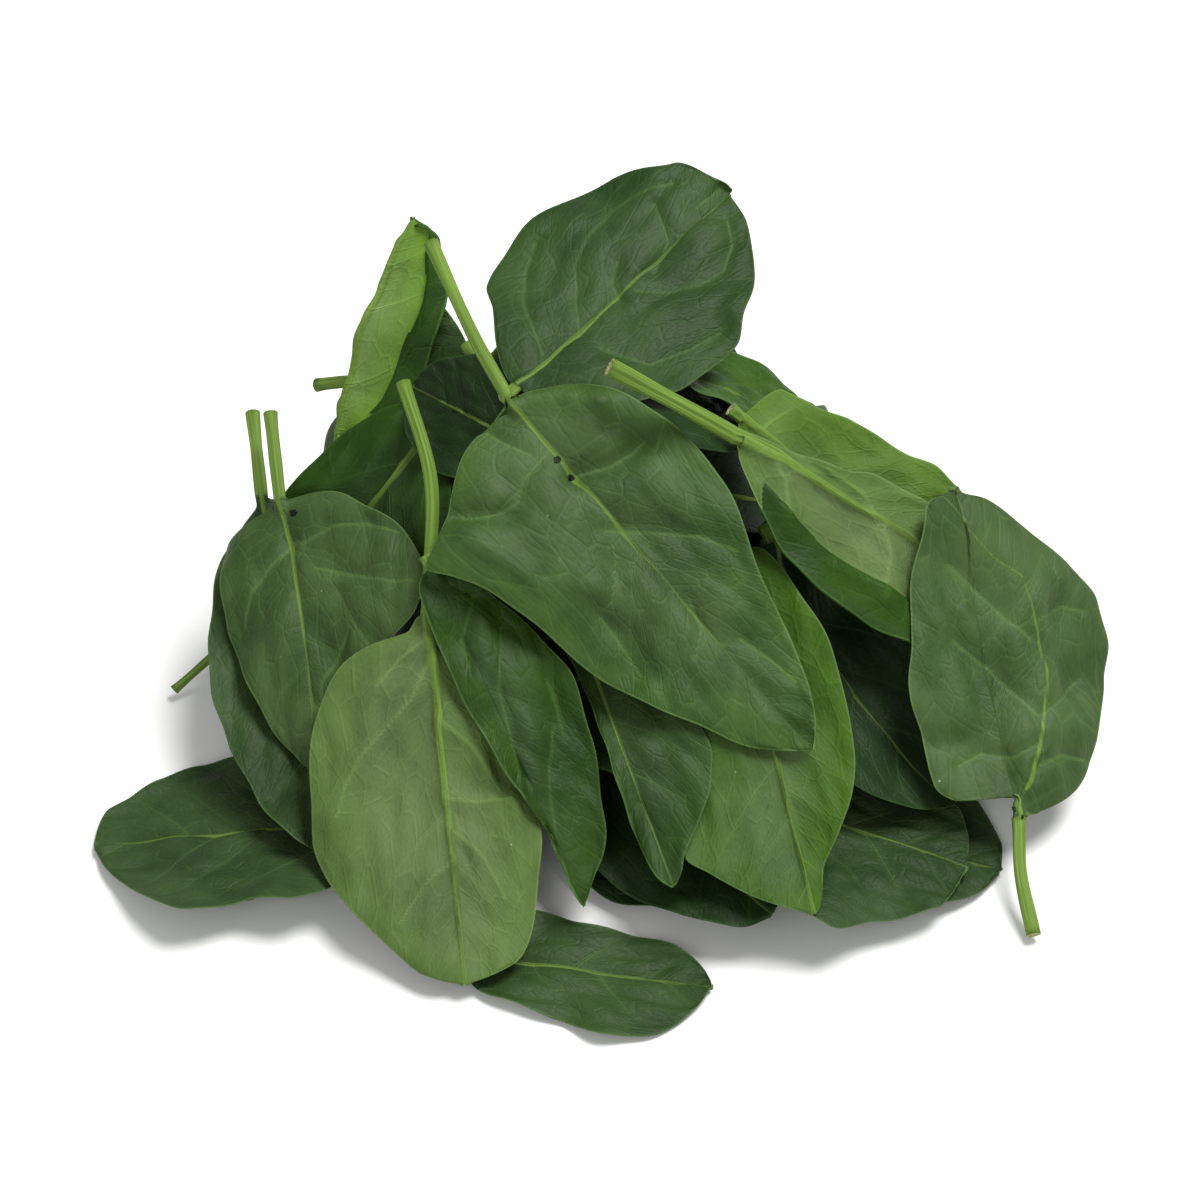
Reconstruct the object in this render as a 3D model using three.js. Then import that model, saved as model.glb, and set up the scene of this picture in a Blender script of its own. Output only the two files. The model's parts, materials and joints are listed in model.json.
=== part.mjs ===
// A heap of loose baby spinach. Every leaf is one piece: a cut stalk, a midrib and a thin blade.
// The leaves are laid one after another, from the bottom of the heap outwards. Each has a natural
// shape of its own, and bends until it rests on the leaves already there or on the surface below.
// Millimetres, +Z up.
import * as THREE from "three";

const { degToRad, clamp, smoothstep } = THREE.MathUtils;
const V = THREE.Vector3;

// Thin blades, with a clear space between neighbours
const BLADE_THICKNESS = 0.7;
const CLEARANCE = 0.5;
const STALK_RADIUS = 1.35;
const TIP_HALF_WIDTH = 0.8;

// How the blades bend: a stiff blade bridges its supports, a limp one follows them
const STIFFNESS = 3.0e4;
const CONTACT = 2.5e3;
const SETTLING_ROUNDS = 7;
const CONTACT_ROUNDS = 16;

// The picture that places the leaves: a camera in front of the heap and above it
const PICTURE_CENTRE = 600;
const PIXEL = 0.2;
const VIEW_ELEVATION = 45;
const VIEW_DISTANCE = 700;
const VIEW_TARGET = new V(0, 0, 25);

// Unit vector for an azimuth (0 towards the camera, 90 to the right) and an elevation
function direction(azimuth, elevation) {
  const a = degToRad(azimuth);
  const e = degToRad(elevation);
  return new V(Math.sin(a) * Math.cos(e), -Math.cos(a) * Math.cos(e), Math.sin(e));
}

const toEye = direction(0, VIEW_ELEVATION);
const pictureUp = new V().crossVectors(toEye, new V(1, 0, 0)).normalize();
const eye = VIEW_TARGET.clone().addScaledVector(toEye, VIEW_DISTANCE);

// The line of sight through a pixel, and the upright line over a place on the surface below
function sightLine([px, py]) {
  const along = toEye.clone().multiplyScalar(-VIEW_DISTANCE);
  along.x += (px - PICTURE_CENTRE) * PIXEL;
  along.addScaledVector(pictureUp, (PICTURE_CENTRE - py) * PIXEL);
  return { origin: eye, along: along.normalize() };
}

function uprightLine([x, y]) {
  return { origin: new V(x, y, 0), along: new V(0, 0, -1) };
}

function meet(line, point, normal) {
  const t = new V().subVectors(point, line.origin).dot(normal) / line.along.dot(normal);
  return line.origin.clone().addScaledVector(line.along, t);
}

// The natural shape of a leaf. Angles are in degrees and lengths in millimetres.
//   width, fullest: the blade's width, and where along its length it is widest
//   ends: how full its outline is towards the base and the tip, 2 for an ellipse, less for a point
//   arch, tipDroop: how far the blade turns away from its facing along its length, and at its tip
//   bow: how far its midrib turns sideways
//   cup, fold: how each half rises towards the facing, all across it, and at the midrib
//   roll: how far each margin turns over, beyond rollFrom of the half width
//   wave, waves: height and number of the waves along each margin
//   margins: pixels along each margin, from base to tip, where the picture shows it
//   stalk, stalkDrop: length of the stalk, and how far it turns below the blade's plane
//   cut: the stalk's cut end, and any bends after it, in pixels
//   facing, heights: where the leaf faces, and how high its base and tip are, before it settles
//   level: settles without turning; sink: how far it may sink below where it starts
//   under: the underside, with its ribs, is the side that faces out
const PLAIN = {
  width: 40, fullest: 0.42, ends: [2.0, 1.7], margins: [null, null],
  arch: 20, tipDroop: 0, bow: 0,
  cup: [8, 8], fold: [4, 4], roll: [0, 0], rollFrom: 0.65,
  wave: 0.9, waves: 2.3,
  stalk: 22, stalkDrop: 0, stalkRadius: STALK_RADIUS,
  facing: [0, 60], limp: 1,
  seen: false, level: false, sink: 5, under: false, fine: false,
};

const BLADE_STEPS = { fine: 12, plain: 8 };
// Columns across the blade: margins, middles of the halves, and the flanks and crest of the midrib
const ACROSS = [-1, -0.56, 0, 0, 0, 0.56, 1];
const CREST = 3;
const RIB_FLANK = 1.5;
const RIB_HEIGHT = 1.0;
const SECTION_STEPS = 12;

function halfWidth(leaf, u) {
  const towardsBase = u < leaf.fullest;
  const n = leaf.ends[towardsBase ? 0 : 1];
  const t = (u - leaf.fullest) / (towardsBase ? -leaf.fullest : 1 - leaf.fullest);
  const blade = (leaf.width / 2) * Math.max(1 - t ** n, 0) ** (1 / n);
  return Math.max(blade, u < 0.5 ? leaf.stalkRadius : TIP_HALF_WIDTH);
}

// Midrib of a blade of length 1, turned so that it starts at the origin and ends on the first axis
function unitMidrib(leaf, steps) {
  const fineSteps = 8;
  const points = [new V()];
  const tangents = [];
  const at = new V();
  const heading = (u) => {
    const pitch = degToRad(leaf.arch * (0.5 - u) - leaf.tipDroop * smoothstep(u, 0.5, 1));
    const yaw = degToRad(leaf.bow * (0.5 - u));
    return new V(Math.cos(pitch) * Math.cos(yaw), Math.cos(pitch) * Math.sin(yaw), Math.sin(pitch));
  };
  const stationAt = (i) => 0.5 - 0.5 * Math.cos((Math.PI * i) / steps);
  for (let i = 0; i < steps; i++) {
    tangents.push(heading(stationAt(i)));
    for (let k = 0; k < fineSteps; k++) {
      const u0 = THREE.MathUtils.lerp(stationAt(i), stationAt(i + 1), k / fineSteps);
      const du = (stationAt(i + 1) - stationAt(i)) / fineSteps;
      at.addScaledVector(heading(u0 + du / 2), du);
    }
    points.push(at.clone());
  }
  tangents.push(heading(1));
  const turn = new THREE.Quaternion().setFromUnitVectors(at.clone().normalize(), new V(1, 0, 0));
  points.forEach((p) => p.applyQuaternion(turn));
  tangents.forEach((t) => t.applyQuaternion(turn));
  const up = new V(0, 0, 1);
  const rows = points.map((point, i) => {
    const tangent = tangents[i];
    const side = new V().crossVectors(up, tangent).normalize();
    const normal = new V().crossVectors(tangent, side);
    return { u: stationAt(i), point, tangent, side, normal };
  });
  return rows;
}

// The stalk's centre line in the leaf's own frame, from the cut end to just before the base
function stalkLine(leaf, frame, back) {
  if (leaf.cut === undefined)
    return [1, 0.5, 0.12].map((share) => back.clone().multiplyScalar(share * leaf.stalk));
  const drop = degToRad(leaf.stalkDrop);
  const normal = frame.n.clone().multiplyScalar(Math.cos(drop)).addScaledVector(frame.a, -Math.sin(drop));
  const ends = leaf.cut.map((pixel) => {
    const from = meet(sightLine(pixel), frame.origin, normal).sub(frame.origin);
    return new V(from.dot(frame.a), from.dot(frame.b), from.dot(frame.n));
  });
  const last = ends[ends.length - 1];
  const between = ends.length === 1 ? [0.5, 0.12] : [0.15];
  return [...ends, ...between.map((share) => last.clone().multiplyScalar(share))];
}

// Grid of a leaf's middle surface in its own frame: rows from the cut end of the stalk to the tip
function naturalGrid(leaf, frame, bladeLength) {
  const midrib = unitMidrib(leaf, leaf.bladeSteps);
  const line = stalkLine(leaf, frame, midrib[0].tangent.clone().negate());
  const rows = line.map((at, k) => {
    const next = line[k + 1] ?? new V();
    const along = new V().subVectors(next, line[Math.max(k - 1, 0)]).normalize();
    const side = new V().crossVectors(new V(0, 0, 1), along).normalize();
    const normal = new V().crossVectors(along, side);
    return stalkSection(at, side, normal, leaf.stalkRadius * (k === 0 ? 1.12 : 1));
  });
  midrib.forEach(({ u, point, side, normal }, i) => {
    const centre = point.clone().multiplyScalar(bladeLength);
    if (i === 0) rows.push(stalkSection(centre, side, normal, leaf.stalkRadius));
    else rows.push(bladeSection(leaf, u, centre, side, normal));
  });
  return rows;
}

function stalkSection(centre, side, normal, radius) {
  const count = ACROSS.length;
  return ACROSS.map((_, j) => {
    const angle = Math.PI * (1 - (j + 0.5) / count);
    return {
      p: centre.clone().addScaledVector(side, radius * Math.cos(angle)),
      up: normal,
      half: radius * Math.sin(angle),
      rib: 0,
    };
  });
}

// Walks out from the midrib to one margin, turning as the blade folds, cups and rolls
function walkOut(leaf, s, half, fade) {
  const walk = [{ x: 0, z: 0 }];
  let x = 0;
  let z = 0;
  for (let k = 0; k < SECTION_STEPS; k++) {
    const share = (k + 0.5) / SECTION_STEPS;
    const rolled = clamp((share - leaf.rollFrom) / (1 - leaf.rollFrom), 0, 1);
    const turned = leaf.fold[s] * fade + leaf.cup[s] * share * (half / (leaf.width / 2));
    const angle = degToRad(turned + leaf.roll[s] * rolled * fade);
    x += (Math.cos(angle) * half) / SECTION_STEPS;
    z += (Math.sin(angle) * half) / SECTION_STEPS;
    walk.push({ x, z });
  }
  return walk;
}

function bladeSection(leaf, u, centre, side, normal) {
  const fade = smoothstep(u, 0, 0.2);
  const ribHeight = RIB_HEIGHT * (1 - 0.85 * u);
  const margins = [-1, 1].map((sign, s) => {
    const traced = leaf.traced?.[s];
    const half = traced ? traced(u) : halfWidth(leaf, u);
    let walk = walkOut(leaf, s, half, fade);
    // A traced margin is as far out as the picture shows, however the blade turns on its way there
    if (traced) walk = walkOut(leaf, s, (half * half) / walk[SECTION_STEPS].x, fade);
    const ripple = leaf.wave * fade * Math.sin(2 * Math.PI * (leaf.waves * u + leaf.phase + 0.35 * s));
    return (share) => {
      const place = share * SECTION_STEPS;
      const k = Math.min(Math.floor(place), SECTION_STEPS - 1);
      const t = place - k;
      return {
        x: sign * THREE.MathUtils.lerp(walk[k].x, walk[k + 1].x, t),
        z: THREE.MathUtils.lerp(walk[k].z, walk[k + 1].z, t) + ripple * share ** 2,
      };
    };
  });
  const flank = Math.min(0.35, RIB_FLANK / halfWidth(leaf, u));
  return ACROSS.map((v, j) => {
    const nearRib = Math.abs(j - CREST) === 1;
    const share = nearRib ? flank : Math.abs(v);
    const { x, z } = margins[j < CREST ? 0 : 1](share);
    return {
      p: centre.clone().addScaledVector(side, x).addScaledVector(normal, z),
      up: null,
      half: BLADE_THICKNESS / 2,
      rib: j === CREST ? ribHeight : 0,
    };
  });
}

// Bicubic lattice of lifts over a leaf's own plane
const SPANS = [5, 3];
const LATTICE = (SPANS[0] + 3) * (SPANS[1] + 3);

function cubic(t) {
  const s = 1 - t;
  return [s ** 3 / 6, (3 * t ** 3 - 6 * t ** 2 + 4) / 6, (3 * s ** 3 - 6 * s ** 2 + 4) / 6, t ** 3 / 6];
}

function cubicSlope(t) {
  return [-((1 - t) ** 2) / 2, (3 * t ** 2 - 4 * t) / 2, (-3 * t ** 2 + 2 * t + 1) / 2, t ** 2 / 2];
}

function cubicBend(t) {
  return [1 - t, 3 * t - 2, 1 - 3 * t, t];
}

function lattice(box) {
  const size = [(box.hi[0] - box.lo[0]) / SPANS[0], (box.hi[1] - box.lo[1]) / SPANS[1]];
  const place = (a, b) =>
    [a, b].map((value, k) => {
      const x = clamp((value - box.lo[k]) / size[k], 0, SPANS[k] - 1e-9);
      return [Math.floor(x), x - Math.floor(x)];
    });
  const row = (a, b, alongA, alongB, scale) => {
    const made = new Float64Array(LATTICE);
    const [[i, s], [j, t]] = place(a, b);
    const wa = alongA(s);
    const wb = alongB(t);
    for (let m = 0; m < 4; m++)
      for (let n = 0; n < 4; n++)
        made[(i + m) * (SPANS[1] + 3) + j + n] = wa[m] * wb[n] * scale;
    return made;
  };
  return {
    lift: (a, b) => row(a, b, cubic, cubic, 1),
    bends: (a, b) => [
      row(a, b, cubicBend, cubic, 1 / size[0] ** 2),
      row(a, b, cubicSlope, cubicSlope, Math.SQRT2 / (size[0] * size[1])),
      row(a, b, cubic, cubicBend, 1 / size[1] ** 2),
    ],
  };
}

// Solves a symmetric positive system held as rows, by Cholesky
function solve(matrix, right) {
  const n = right.length;
  const low = matrix.map((row) => Float64Array.from(row));
  for (let i = 0; i < n; i++) {
    for (let j = 0; j <= i; j++) {
      let sum = low[i][j];
      for (let k = 0; k < j; k++) sum -= low[i][k] * low[j][k];
      low[i][j] = i === j ? Math.sqrt(sum) : sum / low[j][j];
    }
  }
  const x = Float64Array.from(right);
  for (let i = 0; i < n; i++) {
    for (let k = 0; k < i; k++) x[i] -= low[i][k] * x[k];
    x[i] /= low[i][i];
  }
  for (let i = n - 1; i >= 0; i--) {
    for (let k = i + 1; k < n; k++) x[i] -= low[k][i] * x[k];
    x[i] /= low[i][i];
  }
  return x;
}

function addOuter(matrix, row, weight) {
  const used = [];
  for (let i = 0; i < LATTICE; i++) if (row[i] !== 0) used.push(i);
  for (const i of used) {
    const scaled = row[i] * weight;
    const line = matrix[i];
    for (const j of used) line[j] += scaled * row[j];
  }
}

function dot(row, values) {
  let sum = 0;
  for (let i = 0; i < LATTICE; i++) sum += row[i] * values[i];
  return sum;
}

// Points spread over the flat facets of a grid, each a weighted mix of four corners
function spread(grid, spacing) {
  const points = [];
  for (let i = 0; i + 1 < grid.length; i++) {
    for (let j = 0; j + 1 < grid[i].length; j++) {
      const corners = [[i, j], [i + 1, j], [i, j + 1], [i + 1, j + 1]];
      const [p, q, r] = corners.map(([m, n]) => grid[m][n].p);
      const along = Math.max(1, Math.ceil(p.distanceTo(q) / spacing));
      const across = Math.max(1, Math.ceil(Math.max(p.distanceTo(r), 0.1) / spacing));
      for (let m = 0; m <= along; m++)
        for (let n = 0; n <= across; n++) {
          const s = m / along;
          const t = n / across;
          points.push({ corners, weights: [(1 - s) * (1 - t), s * (1 - t), (1 - s) * t, s * t] });
        }
    }
  }
  return points;
}

function mixed(grid, { corners, weights }, value) {
  return corners.reduce((sum, [i, j], k) => sum + weights[k] * value(grid[i][j]), 0);
}

// Everything already laid down, as points with the half thickness there
const laid = { x: [], y: [], z: [], half: [] };
const CELL = 1.3;
const OBSTACLE_SPACING = 1.2;
const SAMPLE_SPACING = 2.4;

// Highest thing laid down in each cell of a leaf's own plane, seen along its facing
function reliefUnder(frame, box) {
  const margin = 2 * CELL;
  const lo = [box.lo[0] - margin, box.lo[1] - margin];
  const size = [0, 1].map((k) => Math.ceil((box.hi[k] - lo[k] + margin) / CELL) + 1);
  const top = new Float64Array(size[0] * size[1]).fill(-1e6);
  const { origin, a, b, n } = frame;
  for (let k = 0; k < laid.x.length; k++) {
    const x = laid.x[k] - origin.x;
    const y = laid.y[k] - origin.y;
    const z = laid.z[k] - origin.z;
    const i = Math.round((a.x * x + a.y * y + a.z * z - lo[0]) / CELL);
    const j = Math.round((b.x * x + b.y * y + b.z * z - lo[1]) / CELL);
    if (i < 0 || j < 0 || i >= size[0] || j >= size[1]) continue;
    const height = n.x * x + n.y * y + n.z * z + laid.half[k];
    if (height > top[i * size[1] + j]) top[i * size[1] + j] = height;
  }
  return (pa, pb) => {
    const i = Math.round((pa - lo[0]) / CELL);
    const j = Math.round((pb - lo[1]) / CELL);
    let best = -1e6;
    for (let m = Math.max(0, i - 1); m <= Math.min(size[0] - 1, i + 1); m++)
      for (let n2 = Math.max(0, j - 1); n2 <= Math.min(size[1] - 1, j + 1); n2++)
        best = Math.max(best, top[m * size[1] + n2]);
    return best;
  };
}

// Smooth curve through knots, [place, value] in order, that doesn't overshoot them
function smoothCurve(knots) {
  const slopes = knots.slice(1).map(([x, y], i) => (y - knots[i][1]) / (x - knots[i][0]));
  const bends = knots.map((_, i) => {
    const before = slopes[Math.max(i - 1, 0)];
    const after = slopes[Math.min(i, slopes.length - 1)];
    return before * after > 0 ? (2 * before * after) / (before + after) : 0;
  });
  return (x) => {
    let i = 0;
    while (i < slopes.length - 1 && x > knots[i + 1][0]) i += 1;
    const run = knots[i + 1][0] - knots[i][0];
    const t = (x - knots[i][0]) / run;
    const between = t ** 2 * (3 - 2 * t);
    return THREE.MathUtils.lerp(knots[i][1], knots[i + 1][1], between)
      + run * bends[i] * t * (1 - t) ** 2 - run * bends[i + 1] * t ** 2 * (1 - t);
  };
}

// Where a place on a leaf's plane is along the blade, and how far out from the midrib
function besideMidrib(midrib, length, x, y, sign) {
  const ahead = midrib.map(({ point, tangent }) =>
    (x - point.x * length) * tangent.x + (y - point.y * length) * tangent.y);
  let i = 0;
  while (i < midrib.length - 2 && ahead[i + 1] > 0) i += 1;
  const t = clamp(ahead[i] / (ahead[i] - ahead[i + 1]), 0, 1);
  const mix = (of) => THREE.MathUtils.lerp(of(midrib[i]), of(midrib[i + 1]), t);
  const outX = (x - mix((m) => m.point.x) * length) * mix((m) => m.side.x);
  const outY = (y - mix((m) => m.point.y) * length) * mix((m) => m.side.y);
  return { u: mix((m) => m.u), half: sign * (outX + outY) };
}

// Half widths along a leaf where the picture shows its margins. Their pixels are brought onto the
// leaf at the height that the margin had in the round before.
function tracedWidths(leaf, frame, midrib, length, marginHeight) {
  const evened = (u) => Math.acos(1 - 2 * u) / Math.PI;
  return leaf.margins.map((pixels, s) => {
    if (pixels === null) return null;
    const found = pixels.map((pixel) => {
      let at = { u: 0.5, half: 0 };
      for (let k = 0; k < 3; k++) {
        const level = frame.origin.clone().addScaledVector(frame.n, marginHeight(s, at.u));
        const from = meet(sightLine(pixel), level, frame.n).sub(frame.origin);
        at = besideMidrib(midrib, length, from.dot(frame.a), from.dot(frame.b), s === 0 ? -1 : 1);
      }
      return [evened(clamp(at.u, 0.004, 0.996)), clamp(at.half, TIP_HALF_WIDTH, 0.8 * leaf.width)];
    });
    const knots = [[0, leaf.stalkRadius]];
    for (const knot of found) if (knot[0] > knots[knots.length - 1][0] + 0.012) knots.push(knot);
    if (knots[knots.length - 1][0] > 0.985) knots.pop();
    knots.push([1, TIP_HALF_WIDTH]);
    const curve = smoothCurve(knots);
    return (u) => curve(evened(u));
  });
}

function frameOf(base, tip, facing) {
  const a = new V().subVectors(tip, base).normalize();
  const n = facing.clone().addScaledVector(a, -facing.dot(a)).normalize();
  const b = new V().crossVectors(n, a);
  return { origin: base.clone(), a, b, n };
}

function inWorld({ origin, a, b, n }, v) {
  return origin.clone().addScaledVector(a, v.x).addScaledVector(b, v.y).addScaledVector(n, v.z);
}

// Least lift that keeps every part of the leaf clear of what lies under it, bent as little as it can
function settleOnce(leaf, frame, grid, planes) {
  const box = { lo: [1e9, 1e9], hi: [-1e9, -1e9] };
  for (const row of grid)
    for (const { p } of row)
      [p.x, p.y].forEach((value, k) => {
        box.lo[k] = Math.min(box.lo[k], value - 0.5);
        box.hi[k] = Math.max(box.hi[k], value + 0.5);
      });
  const relief = reliefUnder(frame, box);
  const splines = lattice(box);
  const corner = new Map();
  const cornerRow = ([i, j]) => {
    const key = i * ACROSS.length + j;
    if (!corner.has(key)) corner.set(key, splines.lift(grid[i][j].p.x, grid[i][j].p.y));
    return corner.get(key);
  };
  const samples = spread(grid, SAMPLE_SPACING).map((sample) => {
    const row = new Float64Array(LATTICE);
    sample.corners.forEach((at, k) => {
      const from = cornerRow(at);
      for (let m = 0; m < LATTICE; m++) row[m] += sample.weights[k] * from[m];
    });
    const [x, y, z] = ["x", "y", "z"].map((axis) => mixed(grid, sample, (g) => g.p[axis]));
    const half = mixed(grid, sample, (g) => g.half + (leaf.under ? 0 : g.rib));
    const at = inWorld(frame, new V(x, y, z)).sub(frame.origin);
    const overPlanes = planes.map(({ point, normal }) => {
      const height = new V().subVectors(frame.origin, point).add(at).dot(normal);
      return (half - height) / Math.max(frame.n.dot(normal), 0.2);
    });
    const overLeaves = relief(x, y) + CLEARANCE + half - z;
    return { row, needed: Math.max(...overPlanes, overLeaves) };
  });
  const count = samples.length;
  const fixed = Array.from({ length: LATTICE }, () => new Float64Array(LATTICE));
  const pull = new Float64Array(LATTICE);
  for (const { row } of samples) for (let m = 0; m < LATTICE; m++) pull[m] += row[m] / count;
  const quadrature = [11, 7];
  const stiffness = STIFFNESS / leaf.limp / (quadrature[0] * quadrature[1]);
  for (let i = 0; i < quadrature[0]; i++)
    for (let j = 0; j < quadrature[1]; j++) {
      const a = THREE.MathUtils.lerp(box.lo[0], box.hi[0], (i + 0.5) / quadrature[0]);
      const b = THREE.MathUtils.lerp(box.lo[1], box.hi[1], (j + 0.5) / quadrature[1]);
      for (const bend of splines.bends(a, b)) addOuter(fixed, bend, stiffness);
    }
  const hold = 0.02;
  for (const { row } of samples) addOuter(fixed, row, hold / count);
  for (let m = 0; m < LATTICE; m++) fixed[m][m] += 1e-7;
  // Start from the level at which the flat leaf only just touches, then let contacts come and go
  const start = samples.reduce((most, s) => Math.max(most, s.needed), -1e6);
  let lifts = new Float64Array(LATTICE).fill(start);
  for (let round = 0; round < CONTACT_ROUNDS; round++) {
    const matrix = fixed.map((row) => Float64Array.from(row));
    const right = new Float64Array(LATTICE);
    for (let m = 0; m < LATTICE; m++) right[m] = -pull[m];
    for (const { row, needed } of samples) {
      const now = dot(row, lifts);
      for (let m = 0; m < LATTICE; m++) if (row[m] !== 0) right[m] += (hold / count) * now * row[m];
      if (now > needed + 0.02) continue;
      addOuter(matrix, row, CONTACT / count);
      for (let m = 0; m < LATTICE; m++)
        if (row[m] !== 0) right[m] += (CONTACT / count) * needed * row[m];
    }
    lifts = solve(matrix, right);
  }
  const short = samples.reduce((most, { row, needed }) => Math.max(most, needed - dot(row, lifts)), 0);
  return (p) => dot(splines.lift(p.x, p.y), lifts) + Math.max(short, 0);
}

// Lays one leaf: finds its depth and tilt by turns, so that its base and tip stay on their lines
function lay(leaf) {
  const lines = [leaf.base, leaf.tip].map(leaf.seen ? sightLine : uprightLine);
  let facing = direction(...leaf.facing);
  const heights = leaf.heights ?? [0, 0];
  let [base, tip] = lines.map((line, k) => meet(line, new V(0, 0, heights[k]), new V(0, 0, 1)));
  // The surface below, and a plane that keeps the leaf near the heights where it starts
  const planes = [{ point: new V(), normal: new V(0, 0, 1) }];
  if (leaf.heights) {
    const { n } = frameOf(base, tip, facing);
    planes.push({ point: base.clone().addScaledVector(n, -leaf.sink), normal: n });
  }
  const isTraced = leaf.margins.some((pixels) => pixels !== null);
  const rounds = leaf.level ? (isTraced ? 3 : 1) : SETTLING_ROUNDS;
  let placed = null;
  let marginHeight = () => 0;
  for (let round = 0; round < rounds; round++) {
    const frame = frameOf(base, tip, facing);
    const midrib = unitMidrib(leaf, leaf.bladeSteps);
    const length = base.distanceTo(tip) / midrib[leaf.bladeSteps].point.x;
    leaf.traced = tracedWidths(leaf, frame, midrib, length, marginHeight);
    const grid = naturalGrid(leaf, frame, length);
    const lift = settleOnce(leaf, frame, grid, planes);
    for (const row of grid) for (const g of row) g.lift = lift(g.p);
    placed = { frame, grid };
    const blade = grid.slice(grid.length - leaf.bladeSteps - 1);
    const heightsAlong = [0, ACROSS.length - 1].map((j) =>
      smoothCurve(midrib.map(({ u }, i) => [u, blade[i][j].p.z + blade[i][j].lift])));
    marginHeight = (s, u) => heightsAlong[s](u);
    if (round === rounds - 1) break;
    if (leaf.level) continue;
    // Take the tilt out of the lifts and into the leaf's own plane
    const firstRow = blade[0][CREST];
    const lastRow = blade[blade.length - 1][CREST];
    const middle = blade[Math.round(blade.length * 0.45)];
    const newBase = base.clone().addScaledVector(frame.n, firstRow.lift);
    const newTip = tip.clone().addScaledVector(frame.n, lastRow.lift);
    const rise = middle[middle.length - 1].lift - middle[0].lift;
    const run = middle[middle.length - 1].p.y - middle[0].p.y;
    const side = frame.b.clone().addScaledVector(frame.n, rise / run).normalize();
    facing = new V().subVectors(newTip, newBase).cross(side).normalize();
    base = meet(lines[0], newBase, facing);
    tip = meet(lines[1], newTip, facing);
  }
  const { frame, grid } = placed;
  const turned = (v) =>
    new V().addScaledVector(frame.a, v.x).addScaledVector(frame.b, v.y).addScaledVector(frame.n, v.z);
  const world = grid.map((row) =>
    row.map((g) => ({
      p: inWorld(frame, new V(g.p.x, g.p.y, g.p.z + g.lift)),
      up: g.up ? turned(g.up) : null,
      half: g.half,
      rib: g.rib,
    })),
  );
  giveNormals(world);
  for (const sample of spread(world, OBSTACLE_SPACING)) {
    for (const axis of ["x", "y", "z"]) laid[axis].push(mixed(world, sample, (g) => g.p[axis]));
    laid.half.push(mixed(world, sample, (g) => g.half + (leaf.under ? g.rib : 0)));
  }
  return world;
}

// Blade rows take their thickness along the surface's own normal
function giveNormals(grid) {
  const last = grid.length - 1;
  grid.forEach((row, i) =>
    row.forEach((g, j) => {
      if (g.up) return;
      const along = new V().subVectors(grid[Math.min(i + 1, last)][j].p, grid[i - 1][j].p);
      const across = new V().subVectors(
        row[Math.min(j + 1, row.length - 1)].p,
        row[Math.max(j - 1, 0)].p,
      );
      g.up = along.cross(across).normalize();
    }),
  );
}

// One closed body from the rows: an upper and a lower face, two margins and two ends
const FLOOR_SNAP = 0.3;
function leafGeometry(leaf, world) {
  const rings = world.map((row) => {
    const upper = row.map(({ p, up, half, rib }) =>
      p.clone().addScaledVector(up, half + (leaf.under ? rib : 0)),
    );
    const lower = row.map(({ p, up, half, rib }) => {
      const q = p.clone().addScaledVector(up, -half - (leaf.under ? 0 : rib));
      if (q.z < FLOOR_SNAP) q.z = 0;
      return q;
    });
    return [...upper, ...lower.reverse()];
  });
  const count = rings[0].length;
  const positions = rings.flat().flatMap((p) => [p.x, p.y, p.z]);
  const faces = [];
  const at = (i, j) => i * count + (j % count);
  for (let i = 0; i + 1 < rings.length; i++)
    for (let j = 0; j < count; j++) {
      // The same diagonal on both faces of the blade
      const upperFace = j < ACROSS.length - 1;
      const [p, q, r, s] = [at(i, j), at(i + 1, j), at(i + 1, j + 1), at(i, j + 1)];
      if (upperFace) faces.push(p, q, s, q, r, s);
      else faces.push(p, q, r, p, r, s);
    }
  for (let j = 0; j + 1 < ACROSS.length; j++) {
    const [p, q, r, s] = [j, j + 1, count - 2 - j, count - 1 - j];
    faces.push(p, q, r, p, r, s);
    const end = (rings.length - 1) * count;
    faces.push(end + p, end + r, end + q, end + p, end + s, end + r);
  }
  const geometry = new THREE.BufferGeometry();
  geometry.setAttribute("position", new THREE.Float32BufferAttribute(positions, 3));
  geometry.setIndex(faces);
  geometry.computeVertexNormals();
  return geometry;
}

const TOP_GREEN = new THREE.MeshStandardMaterial({ color: 0x33522f, roughness: 0.5, metalness: 0 });
const PALE_GREEN = new THREE.MeshStandardMaterial({ color: 0x5c7d45, roughness: 0.6, metalness: 0 });

// The hidden leaves that carry the others lie about level, with short stalks
const CORE = { level: true, facing: [0, 90], stalk: 8 };

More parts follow.
